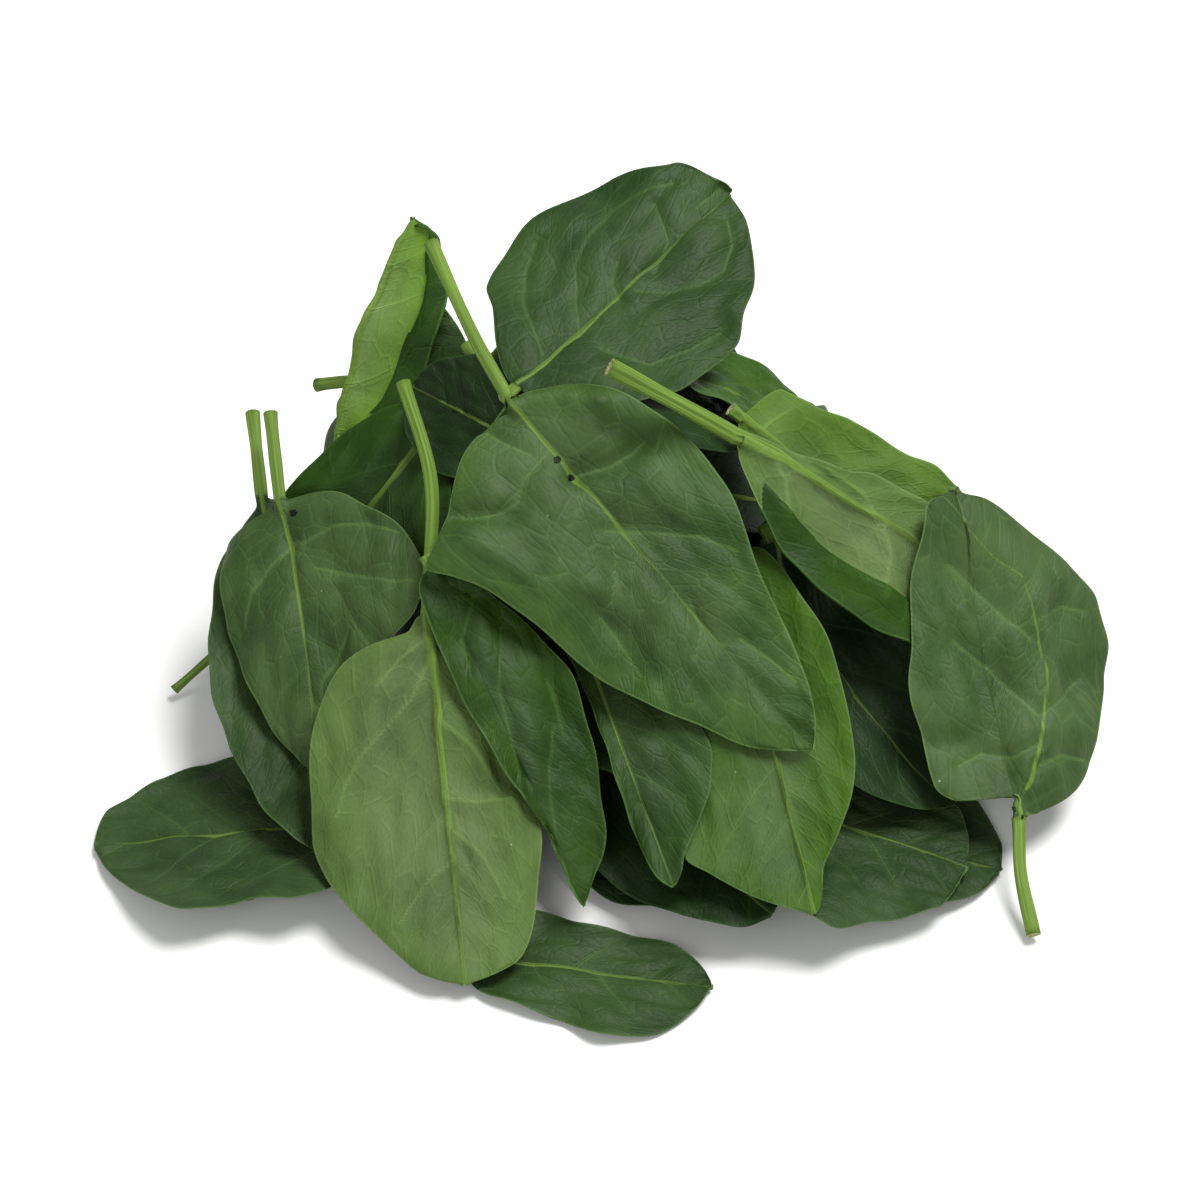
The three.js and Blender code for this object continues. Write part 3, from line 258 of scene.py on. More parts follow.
# The leaves from the bottom of the heap outwards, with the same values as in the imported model
HEAP = [
    # A flat leaf under the middle
    core(
        "core_flat", (-24, 2), (24, -2), width=30, arch=0, cup=(0, 0), fold=(0, 0), wave=0,
        under=True,
    ),
    # Leaves lying on the surface round the foot of the heap
    seen_leaf(
        "left_floor_pale", (420, 830), (238, 893), facing=(0, 90), heights=(2, 2), width=32,
        under=True, arch=5,
    ),
    seen_leaf(
        "left_floor", (370, 823), (94, 846), facing=(0, 90), heights=(4, 2), width=42, arch=14,
        fine=True,
    ),
    seen_leaf(
        "front_floor", (470, 955), (712, 988), facing=(0, 90), heights=(2, 2), stalk=8, width=31,
        fullest=0.5, ends=(2, 2.3), arch=16, fine=True,
    ),
    seen_leaf(
        "right_floor_back", (800, 800), (1000, 872), facing=(0, 90), heights=(8, 2), width=44,
        arch=8,
    ),
    seen_leaf(
        "right_floor", (775, 802), (966, 868), facing=(0, 90), heights=(8, 2), width=44, arch=14,
        fine=True,
    ),
    seen_leaf(
        "centre_floor", (560, 810), (768, 930), facing=(0, 90), heights=(8, 2), width=24, arch=10,
    ),
    seen_leaf(
        "centre_dark", (585, 745), (772, 914), facing=(0, 80), heights=(14, 3), width=34, arch=10,
    ),
    leaf("back_left_floor", (-30, 48), (-50, 78), facing=(180, 80), width=40),
    leaf("back_centre_floor", (10, 55), (-12, 98), facing=(180, 80), width=42),
    leaf("back_right_floor", (32, 45), (56, 66), facing=(180, 80), width=44),
    # Hidden leaves that carry the heap
    core("core_1", (-30, 30), (28, 20), width=42, arch=40, cup=(-20, -20), fold=(-10, -10)),
    core("core_2", (25, 55), (0, -5), width=38, arch=50, fold=(-20, -20)),
    core("core_3", (55, 0), (-5, 22), width=38, arch=50, fold=(-25, -25)),
    core("core_4", (-38, 5), (15, 35), width=38, arch=50, fold=(-25, -25)),
    core("core_5", (0, 60), (6, 5), width=38, arch=40, fold=(-25, -25)),
    core("core_6", (38, -35), (-20, -20), width=40, arch=50, fold=(-25, -25)),
    core("core_7", (42, 38), (-12, 20), width=36, arch=40, fold=(10, 10)),
    core("core_8", (-32, 42), (22, 15), width=36, arch=40, fold=(-12, -12)),
    core("core_9", (45, -8), (-2, -12), width=36, arch=50, fold=(-20, -20)),
    core("core_10", (-42, -4), (8, 2), width=36, arch=50, fold=(-15, -15)),
    # Leaves leaning on the back and the sides
    leaf(
        "back_left", (-24, 38), (-38, 80), facing=(200, 45), heights=(54, 4), stalk=4, level=True,
        width=42,
    ),
    leaf(
        "back_right", (22, 38), (34, 76), facing=(160, 45), heights=(50, 3), stalk=4, level=True,
        width=42,
    ),
    leaf(
        "back_centre", (-5, 40), (8, 86), facing=(180, 45), heights=(62, 4), stalk=4, level=True,
        width=44,
    ),
    leaf("side_right", (50, 15), (80, 34), facing=(100, 50), heights=(30, 4), level=True, width=42),
    leaf(
        "side_left", (-42, 22), (-62, 46), facing=(250, 50), heights=(34, 4), level=True, width=36,
    ),
    # Behind and beside the top
    seen_leaf(
        "back_right_dark", (620, 350), (757, 405), facing=(30, 70), heights=(56, 50), stalk=10,
        width=34,
    ),
    seen_leaf(
        "back_right_vivid", (680, 372), (820, 450), facing=(40, 60), heights=(55, 45), stalk=8,
        width=24,
    ),
    seen_leaf(
        "back_stem_leaf", (352, 382), (470, 380), facing=(-20, 60), heights=(40, 54),
        cut=[(318, 386)], width=34,
    ),
    seen_leaf(
        "top_back_left", (380, 436), (421, 218), facing=(-65, 30), heights=(36, 74), level=True,
        width=24, fold=(-40, -40), under=True, fine=True,
    ),
    seen_leaf(
        "left_stem_leaf", (214, 652), (380, 570), facing=(-20, 50), heights=(9, 18),
        cut=[(172, 686)], level=True, width=20, stalk_radius=0.9,
    ),
    seen_leaf(
        "left_lower", (262, 500), (322, 852), facing=(-30, 50), heights=(34, 4), cut=[(253, 415)],
        width=38, fine=True,
    ),
    seen_leaf(
        "right_dark", (775, 540), (952, 806), facing=(30, 55), heights=(36, 6), stalk=4, width=46,
    ),
    seen_leaf(
        "right_behind", (742, 418), (965, 590), facing=(30, 50), heights=(53, 33), stalk=3,
        width=30, under=True, fine=True,
    ),
    seen_leaf(
        "left_pale", (452, 418), (300, 600), facing=(-20, 50), heights=(50, 28), level=True,
        width=40, under=True, fine=True,
    ),
    seen_leaf(
        "left_upper", (280, 503), (322, 775), facing=(-20, 50), heights=(40, 12), cut=[(265, 409)],
        level=True, width=42, bow=20, fullest=0.36, ends=(2.4, 1.6), fold=(9, 9), cup=(-26, -26),
        fine=True,
    ),
    seen_leaf(
        "front_right_pale", (728, 552), (814, 914), facing=(10, 50), heights=(40, 4), stalk=4,
        width=40, under=True, fine=True,
    ),
    seen_leaf(
        "front_centre", (560, 580), (675, 893), facing=(0, 50), heights=(40, 8), level=True,
        stalk=8, width=34, fine=True,
    ),
    seen_leaf(
        "under_top", (507, 415), (720, 640), facing=(0, 60), heights=(58, 35), cut=[(469, 345)],
        width=42,
    ),
    seen_leaf(
        "top_small", (528, 448), (412, 386), facing=(-30, 60), heights=(58, 54), stalk=8, width=26,
    ),
    seen_leaf(
        "top_back", (518, 394), (730, 180), facing=(-10, 72), heights=(64, 82), level=True, stalk=4,
        width=48, fullest=0.45, ends=(2.2, 2.4), fold=(9, 9), cup=(-26, -26), fine=True,
    ),
    seen_leaf(
        "front_pale", (428, 615), (465, 985), facing=(0, 45), heights=(42, 2),
        cut=[(403, 380), (431, 482)], width=46, fullest=0.55, ends=(1.8, 2.3), under=True,
        fold=(0, 0), cup=(-16, -16), fine=True,
    ),
    seen_leaf(
        "front_folded", (432, 570), (585, 905), facing=(0, 45), heights=(48, 6), stalk=3, width=32,
        fine=True,
    ),
    seen_leaf(
        "top_front", (512, 405), (812, 750), facing=(0, 55), heights=(65, 28),
        cut=[(430, 231), (475, 336)], width=48, fullest=0.3, ends=(2.6, 1.6), fold=(9, 9),
        cup=(-26, -26), fine=True,
    ),
    seen_leaf(
        "right_stalked", (742, 440), (988, 590), facing=(20, 55), heights=(56, 33),
        cut=[(612, 366)], width=34, ends=(2.6, 1.8), stalk_radius=1.7, under=True, fine=True,
    ),
    seen_leaf(
        "right_hanging", (1026, 810), (945, 496), facing=(30, 45), heights=(14, 44), level=True,
        cut=[(1039, 932), (1027, 870)], width=42, fullest=0.45, ends=(3.2, 2.0), fold=(9, 9),
        cup=(-26, -26), fine=True,
    ),
]


def half_width(leaf, u):
    towards_base = u < leaf.fullest
    n = np.where(towards_base, leaf.ends[0], leaf.ends[1])
    t = (u - leaf.fullest) / np.where(towards_base, -leaf.fullest, 1 - leaf.fullest)
    blade = leaf.width / 2 * np.maximum(1 - np.maximum(t, 0) ** n, 0) ** (1 / n)
    return np.maximum(blade, np.where(u < 0.5, leaf.stalk_radius, TIP_HALF_WIDTH))


def even_stations(steps):
    return 0.5 - 0.5 * np.cos(np.pi * np.arange(steps + 1) / steps)


def heading(leaf, u):
    pitch = np.radians(leaf.arch * (0.5 - u))
    yaw = np.radians(leaf.bow * (0.5 - u))
    return np.stack([np.cos(pitch) * np.cos(yaw), np.cos(pitch) * np.sin(yaw), np.sin(pitch)], -1)


def turn_to_first_axis(v):
    """The least rotation that takes v onto the first axis."""
    v = unit(v)
    x, y, z = np.cross(v, (1, 0, 0))
    cross = np.array([[0, -z, y], [z, 0, -x], [-y, x, 0]])
    return np.eye(3) + cross + cross @ cross / (1 + v[0])


def unit_midrib(leaf, stations):
    """Midrib of a blade of length 1 that starts at the origin and ends on the first axis."""
    fine = (np.arange(8) + 0.5) / 8
    steps = np.diff(stations)[:, None]
    moves = (heading(leaf, stations[:-1, None] + steps * fine) * (steps / 8)[..., None]).sum(1)
    points = np.vstack([np.zeros(3), np.cumsum(moves, 0)])
    turn = turn_to_first_axis(points[-1])
    points = points @ turn.T
    tangents = heading(leaf, stations) @ turn.T
    sides = unit(np.cross((0, 0, 1), tangents))
    return points, tangents, sides, np.cross(tangents, sides)


def stalk_line(leaf, frame, back):
    """The stalk's centre line in the leaf's own frame, from the cut end to just before the base."""
    if leaf.cut is None:
        return [back * share * leaf.stalk for share in (1, 0.5, 0.12)]
    ends = []
    for pixel in leaf.cut:
        offset = meet(sight_line(pixel), frame.origin, frame.n) - frame.origin
        ends.append(np.array([offset @ frame.a, offset @ frame.b, offset @ frame.n]))
    between = (0.5, 0.12) if len(ends) == 1 else (0.15,)
    return ends + [ends[-1] * share for share in between]


def smooth_curve(x, y):
    """Smooth curve through knots in order of x, that doesn't overshoot them."""
    slopes = np.diff(y) / np.diff(x)
    before = np.concatenate([slopes[:1], slopes])
    after = np.concatenate([slopes, slopes[-1:]])
    same_way = before * after > 0
    bends = np.where(same_way, 2 * before * after / np.where(same_way, before + after, 1), 0)

    def curve(at):
        i = np.clip(np.searchsorted(x, at) - 1, 0, len(slopes) - 1)
        run = x[i + 1] - x[i]
        t = (at - x[i]) / run
        between = lerp(y[i], y[i + 1], t * t * (3 - 2 * t))
        return between + run * (bends[i] * t * (1 - t) ** 2 - bends[i + 1] * t**2 * (1 - t))

    return curve


def beside_midrib(leaf, length, places, sign):
    """Where places on a leaf's plane are along the blade, and how far out from the midrib."""
    u = even_stations(leaf.steps)
    points, tangents, sides, _ = unit_midrib(leaf, u)
    points = points[:, :2] * length
    ahead = ((places[:, None] - points) * tangents[:, :2]).sum(-1)
    i = np.cumprod(ahead[:, 1:-1] > 0, axis=1).sum(1)
    each = np.arange(len(places))
    t = np.clip(ahead[each, i] / (ahead[each, i] - ahead[each, i + 1]), 0, 1)
    out = places - lerp(points[i], points[i + 1], t[:, None])
    side = lerp(sides[i, :2], sides[i + 1, :2], t[:, None])
    return lerp(u[i], u[i + 1], t), sign * (out * side).sum(-1)


def evened(u):
    return np.arccos(np.clip(1 - 2 * u, -1, 1)) / np.pi


def traced_widths(leaf, frame, length, margin_height):
    """Half widths along each side of the midrib where the picture shows the margin, else None.

    The margin's pixels are brought onto the leaf at the height it had in the round before.
    """
    traced = []
    for s, pixels in enumerate(leaf.margins):
        if pixels is None:
            traced.append(None)
            continue
        u = np.full(len(pixels), 0.5)
        for _ in range(TRACING_ROUNDS):
            levels = frame.origin + frame.n * margin_height(s, u)[:, None]
            met = [meet(sight_line(p), level, frame.n) for p, level in zip(pixels, levels)]
            offset = np.array(met) - frame.origin
            places = np.stack([offset @ frame.a, offset @ frame.b], 1)
            u, half = beside_midrib(leaf, length, places, (-1, 1)[s])
        knots = [(0.0, leaf.stalk_radius)]
        half = np.clip(half, TIP_HALF_WIDTH, 0.8 * leaf.width)
        for knot in zip(evened(np.clip(u, 0.004, 0.996)), half):
            if knot[0] > knots[-1][0] + 0.012:
                knots.append(knot)
        if knots[-1][0] > 0.985:
            knots.pop()
        knots.append((1.0, TIP_HALF_WIDTH))
        traced.append(smooth_curve(*np.array(knots).T))
    return traced


def side_half(leaf, s, u):
    """Half width of one side, from its traced margin or from the plain outline."""
    traced = leaf.traced[s]
    half = half_width(leaf, u) if traced is None else traced(evened(u))
    if leaf.tip_round:
        into_tip = np.clip(1 - (1 - u) / leaf.tip_round, 0, 1)
        half = np.maximum(half * np.sqrt(1 - into_tip**2), 0.4 * TIP_HALF_WIDTH)
    return half


def walk_out(leaf, s, half, fade, steps):
    """Walks out from the midrib to one margin, turning as the blade folds and cups."""
    at = (np.arange(steps) + 0.5)[None] / steps
    angle = np.radians(leaf.fold[s] * fade + leaf.cup[s] * at * (half / (leaf.width / 2)))
    start = np.zeros((len(half), 1))
    x = np.hstack([start, np.cumsum(np.cos(angle) * half / steps, 1)])
    z = np.hstack([start, np.cumsum(np.sin(angle) * half / steps, 1)])
    return x, z


def section(leaf, u, share, steps):
    """Offsets to the side and along the normal at signed shares of each half width."""
    fade = smoothstep(u, 0, 0.2)[:, None]
    out_x = np.zeros(share.shape)
    out_z = np.zeros(share.shape)
    rows = np.arange(len(u))[:, None]
    for s, sign in enumerate((-1, 1)):
        half = side_half(leaf, s, u)[:, None]
        x, z = walk_out(leaf, s, half, fade, steps)
        if leaf.traced[s] is not None:
            x, z = walk_out(leaf, s, half * half / x[:, -1:], fade, steps)
        phase = MARGIN_WAVES * u + leaf.phase + 0.35 * s
        ripple = leaf.wave * fade * np.sin(2 * np.pi * phase)[:, None]
        mine = (share < 0) if s == 0 else (share >= 0)
        place = np.abs(share) * steps
        k = np.minimum(place.astype(int), steps - 1)
        t = place - k
        side_x = sign * lerp(x[rows, k], x[rows, k + 1], t)
        side_z = lerp(z[rows, k], z[rows, k + 1], t) + ripple * share**2
        out_x = np.where(mine, side_x, out_x)
        out_z = np.where(mine, side_z, out_z)
    return out_x, out_z


def packed_grid(leaf, frame, blade_length):
    """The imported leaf's middle surface: rows from the cut end of the stalk to the tip."""
    stations = even_stations(leaf.steps)
    points, tangents, sides, normals = unit_midrib(leaf, stations)
    line = stalk_line(leaf, frame, -tangents[0])
    angle = np.pi * (1 - (np.arange(len(ACROSS)) + 0.5) / len(ACROSS))
    p, up, half = [], [], []

    def stalk_row(centre, side, normal, radius):
        p.append(centre + radius * np.cos(angle)[:, None] * side)
        up.append(np.tile(normal, (len(ACROSS), 1)))
        half.append(radius * np.sin(angle))

    for k, centre in enumerate(line):
        following = line[k + 1] if k + 1 < len(line) else np.zeros(3)
        along = unit(following - line[max(k - 1, 0)])
        side = unit(np.cross((0, 0, 1), along))
        stalk_row(centre, side, np.cross(along, side), leaf.stalk_radius * (1.12 if k == 0 else 1))
    stalk_row(np.zeros(3), sides[0], normals[0], leaf.stalk_radius)
    stalk_rows = len(p)
    u = stations[1:]
    share = np.tile(ACROSS, (len(u), 1))
    flank = np.minimum(0.35, RIB_FLANK / half_width(leaf, u))
    share[:, CREST - 1], share[:, CREST + 1] = -flank, flank
    x, z = section(leaf, u, share, PACKED_WALK)
    centres = points[1:] * blade_length
    blade = centres[:, None] + sides[1:, None] * x[..., None] + normals[1:, None] * z[..., None]
    rows = len(u)
    rib = np.zeros((stalk_rows + rows, len(ACROSS)))
    rib[stalk_rows:, CREST] = RIB_HEIGHT * (1 - 0.85 * u)
    return SimpleNamespace(
        p=np.concatenate([np.array(p), blade]),
        up=np.concatenate([np.array(up), np.zeros((rows, len(ACROSS), 3))]),
        half=np.concatenate([np.array(half), np.full((rows, len(ACROSS)), BLADE_THICKNESS / 2)]),
        rib=rib,
        stalk_rows=stalk_rows,
    )


# A bicubic lattice of lifts over a leaf's own plane
SPANS = (5, 3)
LATTICE = (SPANS[0] + 3) * (SPANS[1] + 3)


def cubic(t):
    s = 1 - t
    return np.stack([s**3, 3 * t**3 - 6 * t**2 + 4, 3 * s**3 - 6 * s**2 + 4, t**3], -1) / 6


def cubic_slope(t):
    return np.stack([-((1 - t) ** 2), 3 * t**2 - 4 * t, -3 * t**2 + 2 * t + 1, t**2], -1) / 2


def cubic_bend(t):
    return np.stack([1 - t, 3 * t - 2, 1 - 3 * t, t], -1)


class Lattice:
    def __init__(self, low, high):
        self.low, self.size = low, (high - low) / SPANS

    def rows(self, at, along_a=cubic, along_b=cubic, scale=1.0):
        """One row of weights for each place, for the lift there or for its slope or bend."""
        x = np.clip((at - self.low) / self.size, 0, np.array(SPANS) - 1e-9)
        cell = x.astype(int)
        t = x - cell
        weights = along_a(t[:, 0])[:, :, None] * along_b(t[:, 1])[:, None, :] * scale
        made = np.zeros((len(at), SPANS[0] + 3, SPANS[1] + 3))
        each = np.arange(len(at))
        for m in range(4):
            for n in range(4):
                made[each, cell[:, 0] + m, cell[:, 1] + n] = weights[:, m, n]
        return made.reshape(len(at), LATTICE)

    def bends(self, at):
        a, b = self.size
        return np.vstack([
            self.rows(at, cubic_bend, cubic, 1 / a**2),
            self.rows(at, cubic_slope, cubic_slope, math.sqrt(2) / (a * b)),
            self.rows(at, cubic, cubic_bend, 1 / b**2),
        ])


def spread(p, spacing):
    """Places over the facets of a grid, as corner indices and bilinear weights."""
    columns = p.shape[1]
    corners, weights = [], []
    along = np.linalg.norm(p[1:] - p[:-1], axis=-1)
    across = np.maximum(np.linalg.norm(p[:, 1:] - p[:, :-1], axis=-1), 0.1)
    for i in range(len(p) - 1):
        for j in range(columns - 1):
            m = max(1, math.ceil(along[i, j] / spacing))
            n = max(1, math.ceil(across[i, j] / spacing))
            s, t = np.meshgrid(np.arange(m + 1) / m, np.arange(n + 1) / n, indexing="ij")
            s, t = s.ravel(), t.ravel()
            first = i * columns + j
            index = [first, first + columns, first + 1, first + columns + 1]
            corners.append(np.tile(index, (len(s), 1)))
            weights.append(np.stack([(1 - s) * (1 - t), s * (1 - t), (1 - s) * t, s * t], 1))
    return np.concatenate(corners), np.concatenate(weights)


def mixed(values, corners, weights):
    flat = values.reshape(-1, *values.shape[2:])
    picked = flat[corners]
    return np.einsum("sk,sk...->s...", weights, picked)


# Everything already laid down, as points with the half thickness there
laid_points = np.zeros((0, 3))
laid_half = np.zeros(0)
CELL = 1.3
OBSTACLE_SPACING = 1.2
SAMPLE_SPACING = 2.4


def nearest(values):
    return np.floor(values + 0.5).astype(int)


def relief_under(frame, low, high, at):
    """Highest thing laid down around each place of a leaf's own plane, seen along its facing."""
    margin = 2 * CELL
    start = low - margin
    size = np.ceil((high - start + margin) / CELL).astype(int) + 1
    top = np.full(size, -1e6)
    local = laid_points - frame.origin
    cell = nearest((np.stack([local @ frame.a, local @ frame.b], 1) - start) / CELL)
    height = local @ frame.n + laid_half
    inside = ((cell >= 0) & (cell < size)).all(1)
    np.maximum.at(top, (cell[inside, 0], cell[inside, 1]), height[inside])
    padded = np.pad(top, 1, constant_values=-1e6)
    shifted = [padded[m:m + size[0], n:n + size[1]] for m in range(3) for n in range(3)]
    widened = np.max(shifted, axis=0)
    index = nearest((at - start) / CELL)
    return widened[index[:, 0], index[:, 1]]


def frame_of(base, tip, facing):
    a = unit(tip - base)
    n = unit(facing - a * (facing @ a))
    return SimpleNamespace(origin=base.copy(), a=a, b=np.cross(n, a), n=n)


def in_world(frame, v):
    return frame.origin + v[..., :1] * frame.a + v[..., 1:2] * frame.b + v[..., 2:] * frame.n


def settle_once(leaf, frame, grid, planes):
    """Least lift that keeps the leaf clear of what lies under it, bent as little as it can."""
    flat = grid.p[..., :2].reshape(-1, 2)
    low, high = flat.min(0) - 0.5, flat.max(0) + 0.5
    lattice = Lattice(low, high)
    corners, weights = spread(grid.p, SAMPLE_SPACING)
    rows = mixed(lattice.rows(flat).reshape(*grid.half.shape, LATTICE), corners, weights)
    at = mixed(grid.p, corners, weights)
    half = mixed(grid.half + (0 if leaf.under else grid.rib), corners, weights)
    place = in_world(frame, at)
    needed = relief_under(frame, low, high, at[:, :2]) + CLEARANCE + half - at[:, 2]
    for point, normal in planes:
        height = (place - point) @ normal
        needed = np.maximum(needed, (half - height) / max(frame.n @ normal, LEAST_UPRIGHT))
    count = len(rows)
    pull = rows.sum(0) / count
    spots = [(np.arange(k) + 0.5) / k for k in BEND_SPOTS]
    grid_a, grid_b = np.meshgrid(*spots, indexing="ij")
    bends = lattice.bends(lerp(low, high, np.stack([grid_a.ravel(), grid_b.ravel()], 1)))
    fixed = bends.T @ bends * (STIFFNESS / grid_a.size)
    fixed += rows.T @ rows * (HOLD / count) + np.eye(LATTICE) * HOLD_ALL
    lifts = np.full(LATTICE, needed.max())
    for _ in range(CONTACT_ROUNDS):
        now = rows @ lifts
        close = now <= needed + CONTACT_REACH
        touching = rows[close]
        matrix = fixed + touching.T @ touching * (CONTACT / count)
        right = rows.T @ now * (HOLD / count) - pull
        right += touching.T @ needed[close] * (CONTACT / count)
        lifts = np.linalg.solve(matrix, right)
    short = max((needed - rows @ lifts).max(), 0)
    return lambda places: lattice.rows(places) @ lifts + short


def face_normals(p, first):
    """Normals of a grid's rows from first on."""
    rows = np.arange(len(p))
    following = p[np.minimum(rows + 1, len(p) - 1)]
    before = p[np.maximum(rows - 1, 0)]
    columns = np.arange(p.shape[1])
    right = p[:, np.minimum(columns + 1, p.shape[1] - 1)]
    left = p[:, np.maximum(columns - 1, 0)]
    return unit(np.cross(following - before, right - left))[first:]


def lay(leaf):
    """Finds the leaf's depth and tilt by turns, so that base and tip stay on their lines."""
    global laid_points, laid_half
    lines = [(sight_line if leaf.seen else upright_line)(at) for at in (leaf.base, leaf.tip)]
    facing = direction(*leaf.facing)
    up = np.array([0.0, 0.0, 1.0])
    heights = leaf.heights or (0, 0)
    base, tip = [meet(line, up * heights[k], up) for k, line in enumerate(lines)]
    planes = [(np.zeros(3), up)]
    if leaf.heights:
        n = frame_of(base, tip, facing).n
        planes.append((base - n * SINK, n))
    stations = even_stations(leaf.steps)
    points = unit_midrib(leaf, stations)[0]
    rounds = SETTLING_ROUNDS
    if leaf.level:
        rounds = 1 if leaf.margins == (None, None) else TRACING_ROUNDS

    def margin_height(s, u):
        return np.zeros(len(u))

    for turn in range(rounds):
        frame = frame_of(base, tip, facing)
        length = np.linalg.norm(tip - base) / points[-1, 0]
        leaf.traced = traced_widths(leaf, frame, length, margin_height)
        grid = packed_grid(leaf, frame, length)
        lift = settle_once(leaf, frame, grid, planes)
        lifted = lift(grid.p[..., :2].reshape(-1, 2)).reshape(grid.half.shape)
        if turn == rounds - 1:
            break
        blade = slice(len(lifted) - leaf.steps - 1, None)
        height = grid.p[..., 2] + lifted
        heights_along = [smooth_curve(stations, height[blade, j]) for j in (0, -1)]

        def margin_height(s, u, curves=heights_along):
            return curves[s](u)

        if leaf.level:
            continue
        # Take the tilt out of the lifts and into the leaf's own plane
        crest = lifted[blade, CREST]
        middle = len(lifted) - leaf.steps - 1 + int((leaf.steps + 1) * MIDDLE_SHARE + 0.5)
        new_base = base + frame.n * crest[0]
        new_tip = tip + frame.n * crest[-1]
        rise = lifted[middle, -1] - lifted[middle, 0]
        run = grid.p[middle, -1, 1] - grid.p[middle, 0, 1]
        side = unit(frame.b + frame.n * (rise / run))
        facing = unit(np.cross(new_tip - new_base, side))
        base, tip = meet(lines[0], new_base, facing), meet(lines[1], new_tip, facing)
    local = grid.p.copy()
    local[..., 2] += lifted
    world = in_world(frame, local)
    corners, weights = spread(world, OBSTACLE_SPACING)
    laid_points = np.vstack([laid_points, mixed(world, corners, weights)])
    above = grid.half + (grid.rib if leaf.under else 0)
    below = grid.half + (0 if leaf.under else grid.rib)
    laid_half = np.concatenate([laid_half, mixed(above, corners, weights)])
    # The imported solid's own reach, which says how far the whole heap is moved
    normals = in_world(frame, grid.up) - frame.origin
    normals[grid.stalk_rows:] = face_normals(world, grid.stalk_rows)
    faces = np.concatenate([
        world + normals * above[..., None], world - normals * below[..., None],
    ])
    leaf.reach = faces.reshape(-1, 3).min(0), faces.reshape(-1, 3).max(0)
    leaf.frame, leaf.length, leaf.lift, leaf.grid = frame, length, lift, grid


for order, each in enumerate(HEAP):
    each.order = order
    each.phase = order * PHASE_STEP % 1
    each.steps = FINE_ROWS if each.fine else PLAIN_ROWS
    lay(each)

low = np.min([each.reach[0] for each in HEAP], axis=0)
high = np.max([each.reach[1] for each in HEAP], axis=0)
SHIFT = np.array([-(low[0] + high[0]) / 2, -(low[1] + high[1]) / 2, 0])

# How each leaf looks: its tones, and how finely its mesh is divided
LOOKS = {
    "soft": ("top_front", "right_hanging", "left_upper", "front_pale"),
    "pale": ("right_stalked",),
    "bright": ("top_back_left",),
    "vivid": ("back_right_vivid", "right_behind", "left_floor_pale"),
    # The dark tone is painted shade: it goes on leaves seen in deep shadow
    "dark": (
        "left_pale", "right_dark", "centre_dark", "under_top", "centre_floor", "top_small",
        "back_right_dark",
    ),
}
# How far the painted light coming through the margins reaches on each side
GLOW = {
    "front_pale": (0.4, 0.4), "front_right_pale": (0.6, 1), "right_behind": (0.7, 0.7),
    "top_back_left": (1, 1), "left_pale": (1, 1), "front_folded": (1, 1), "top_back": (0.4, 0.4),
    "top_front": (0.5, 0.5), "front_centre": (0.5, 0.5), "right_stalked": (0.5, 0.5),
    "back_right_vivid": (1, 1), "left_floor_pale": (0.8, 0.8),
}
# Margins turned over onto the blade: their side, and the share of the half width they start at
FLAPS = {"right_stalked": (0, 0.55), "top_back_left": (0, 0.62)}
# Holes, painted near-black as shade, at these pixels
HOLES = {"top_front": ((557, 460), (571, 478)), "left_upper": ((293, 513),)}
# Folds and grooves seen in the picture: rise and half width in mm, and pixels along each
RELIEF = {
    "right_hanging": (
        (2.4, 6.0, [(935, 500), (985, 552), (1028, 592), (1042, 690), (1036, 780)]),
        (-1.4, 4.5, [(1060, 620), (1070, 680)]),
        (-1.2, 3.0, [(935, 745), (975, 740), (1000, 775)]),
    ),
    "top_front": (
        (-1.6, 2.4, [(580, 472), (620, 462), (640, 445)]),
        (-1.5, 2.2, [(455, 515), (480, 510), (512, 514)]),
        (1.8, 2.6, [(525, 402), (560, 396), (600, 404)]),
        (1.6, 5.0, [(480, 545), (540, 580), (590, 600)]),
        (1.2, 5.0, [(590, 440), (640, 490), (690, 510)]),
        (-0.9, 3.0, [(505, 520), (530, 552), (545, 570)]),
        (-0.9, 3.0, [(560, 590), (600, 614), (640, 640)]),
        (1.2, 7.0, [(650, 600), (720, 660), (770, 700)]),
    ),
    "top_back": (
        (1.4, 7.0, [(610, 240), (640, 215), (680, 200)]),
        (-0.9, 3.0, [(556, 330), (550, 290), (556, 260)]),
    ),
    "left_upper": (
        (1.2, 6.0, [(255, 545), (265, 620), (290, 690)]),
        (-0.9, 3.0, [(320, 600), (330, 660)]),
    ),
    "front_folded": (
        (-2.6, 6.0, [(520, 600), (562, 680), (595, 780), (602, 860)]),
        (1.2, 6.0, [(470, 620), (500, 700), (535, 780)]),
    ),
}
# Midribs that the picture shows bent within the blade, as pixels
BENT_MIDRIBS = {
    "front_folded": [
        (428, 578), (470, 592), (515, 630), (552, 695), (577, 765), (592, 835), (590, 880),
    ],
    "right_hanging": [
        (1014, 812), (1028, 780), (1038, 745), (1042, 710), (1040, 670), (1031, 620), (1018, 583),
        (990, 560), (960, 525), (932, 497),
    ],
}
# Midribs that the picture hardly shows
FAINT_MIDRIBS = ("front_folded",)
FAINTNESS = 0.38
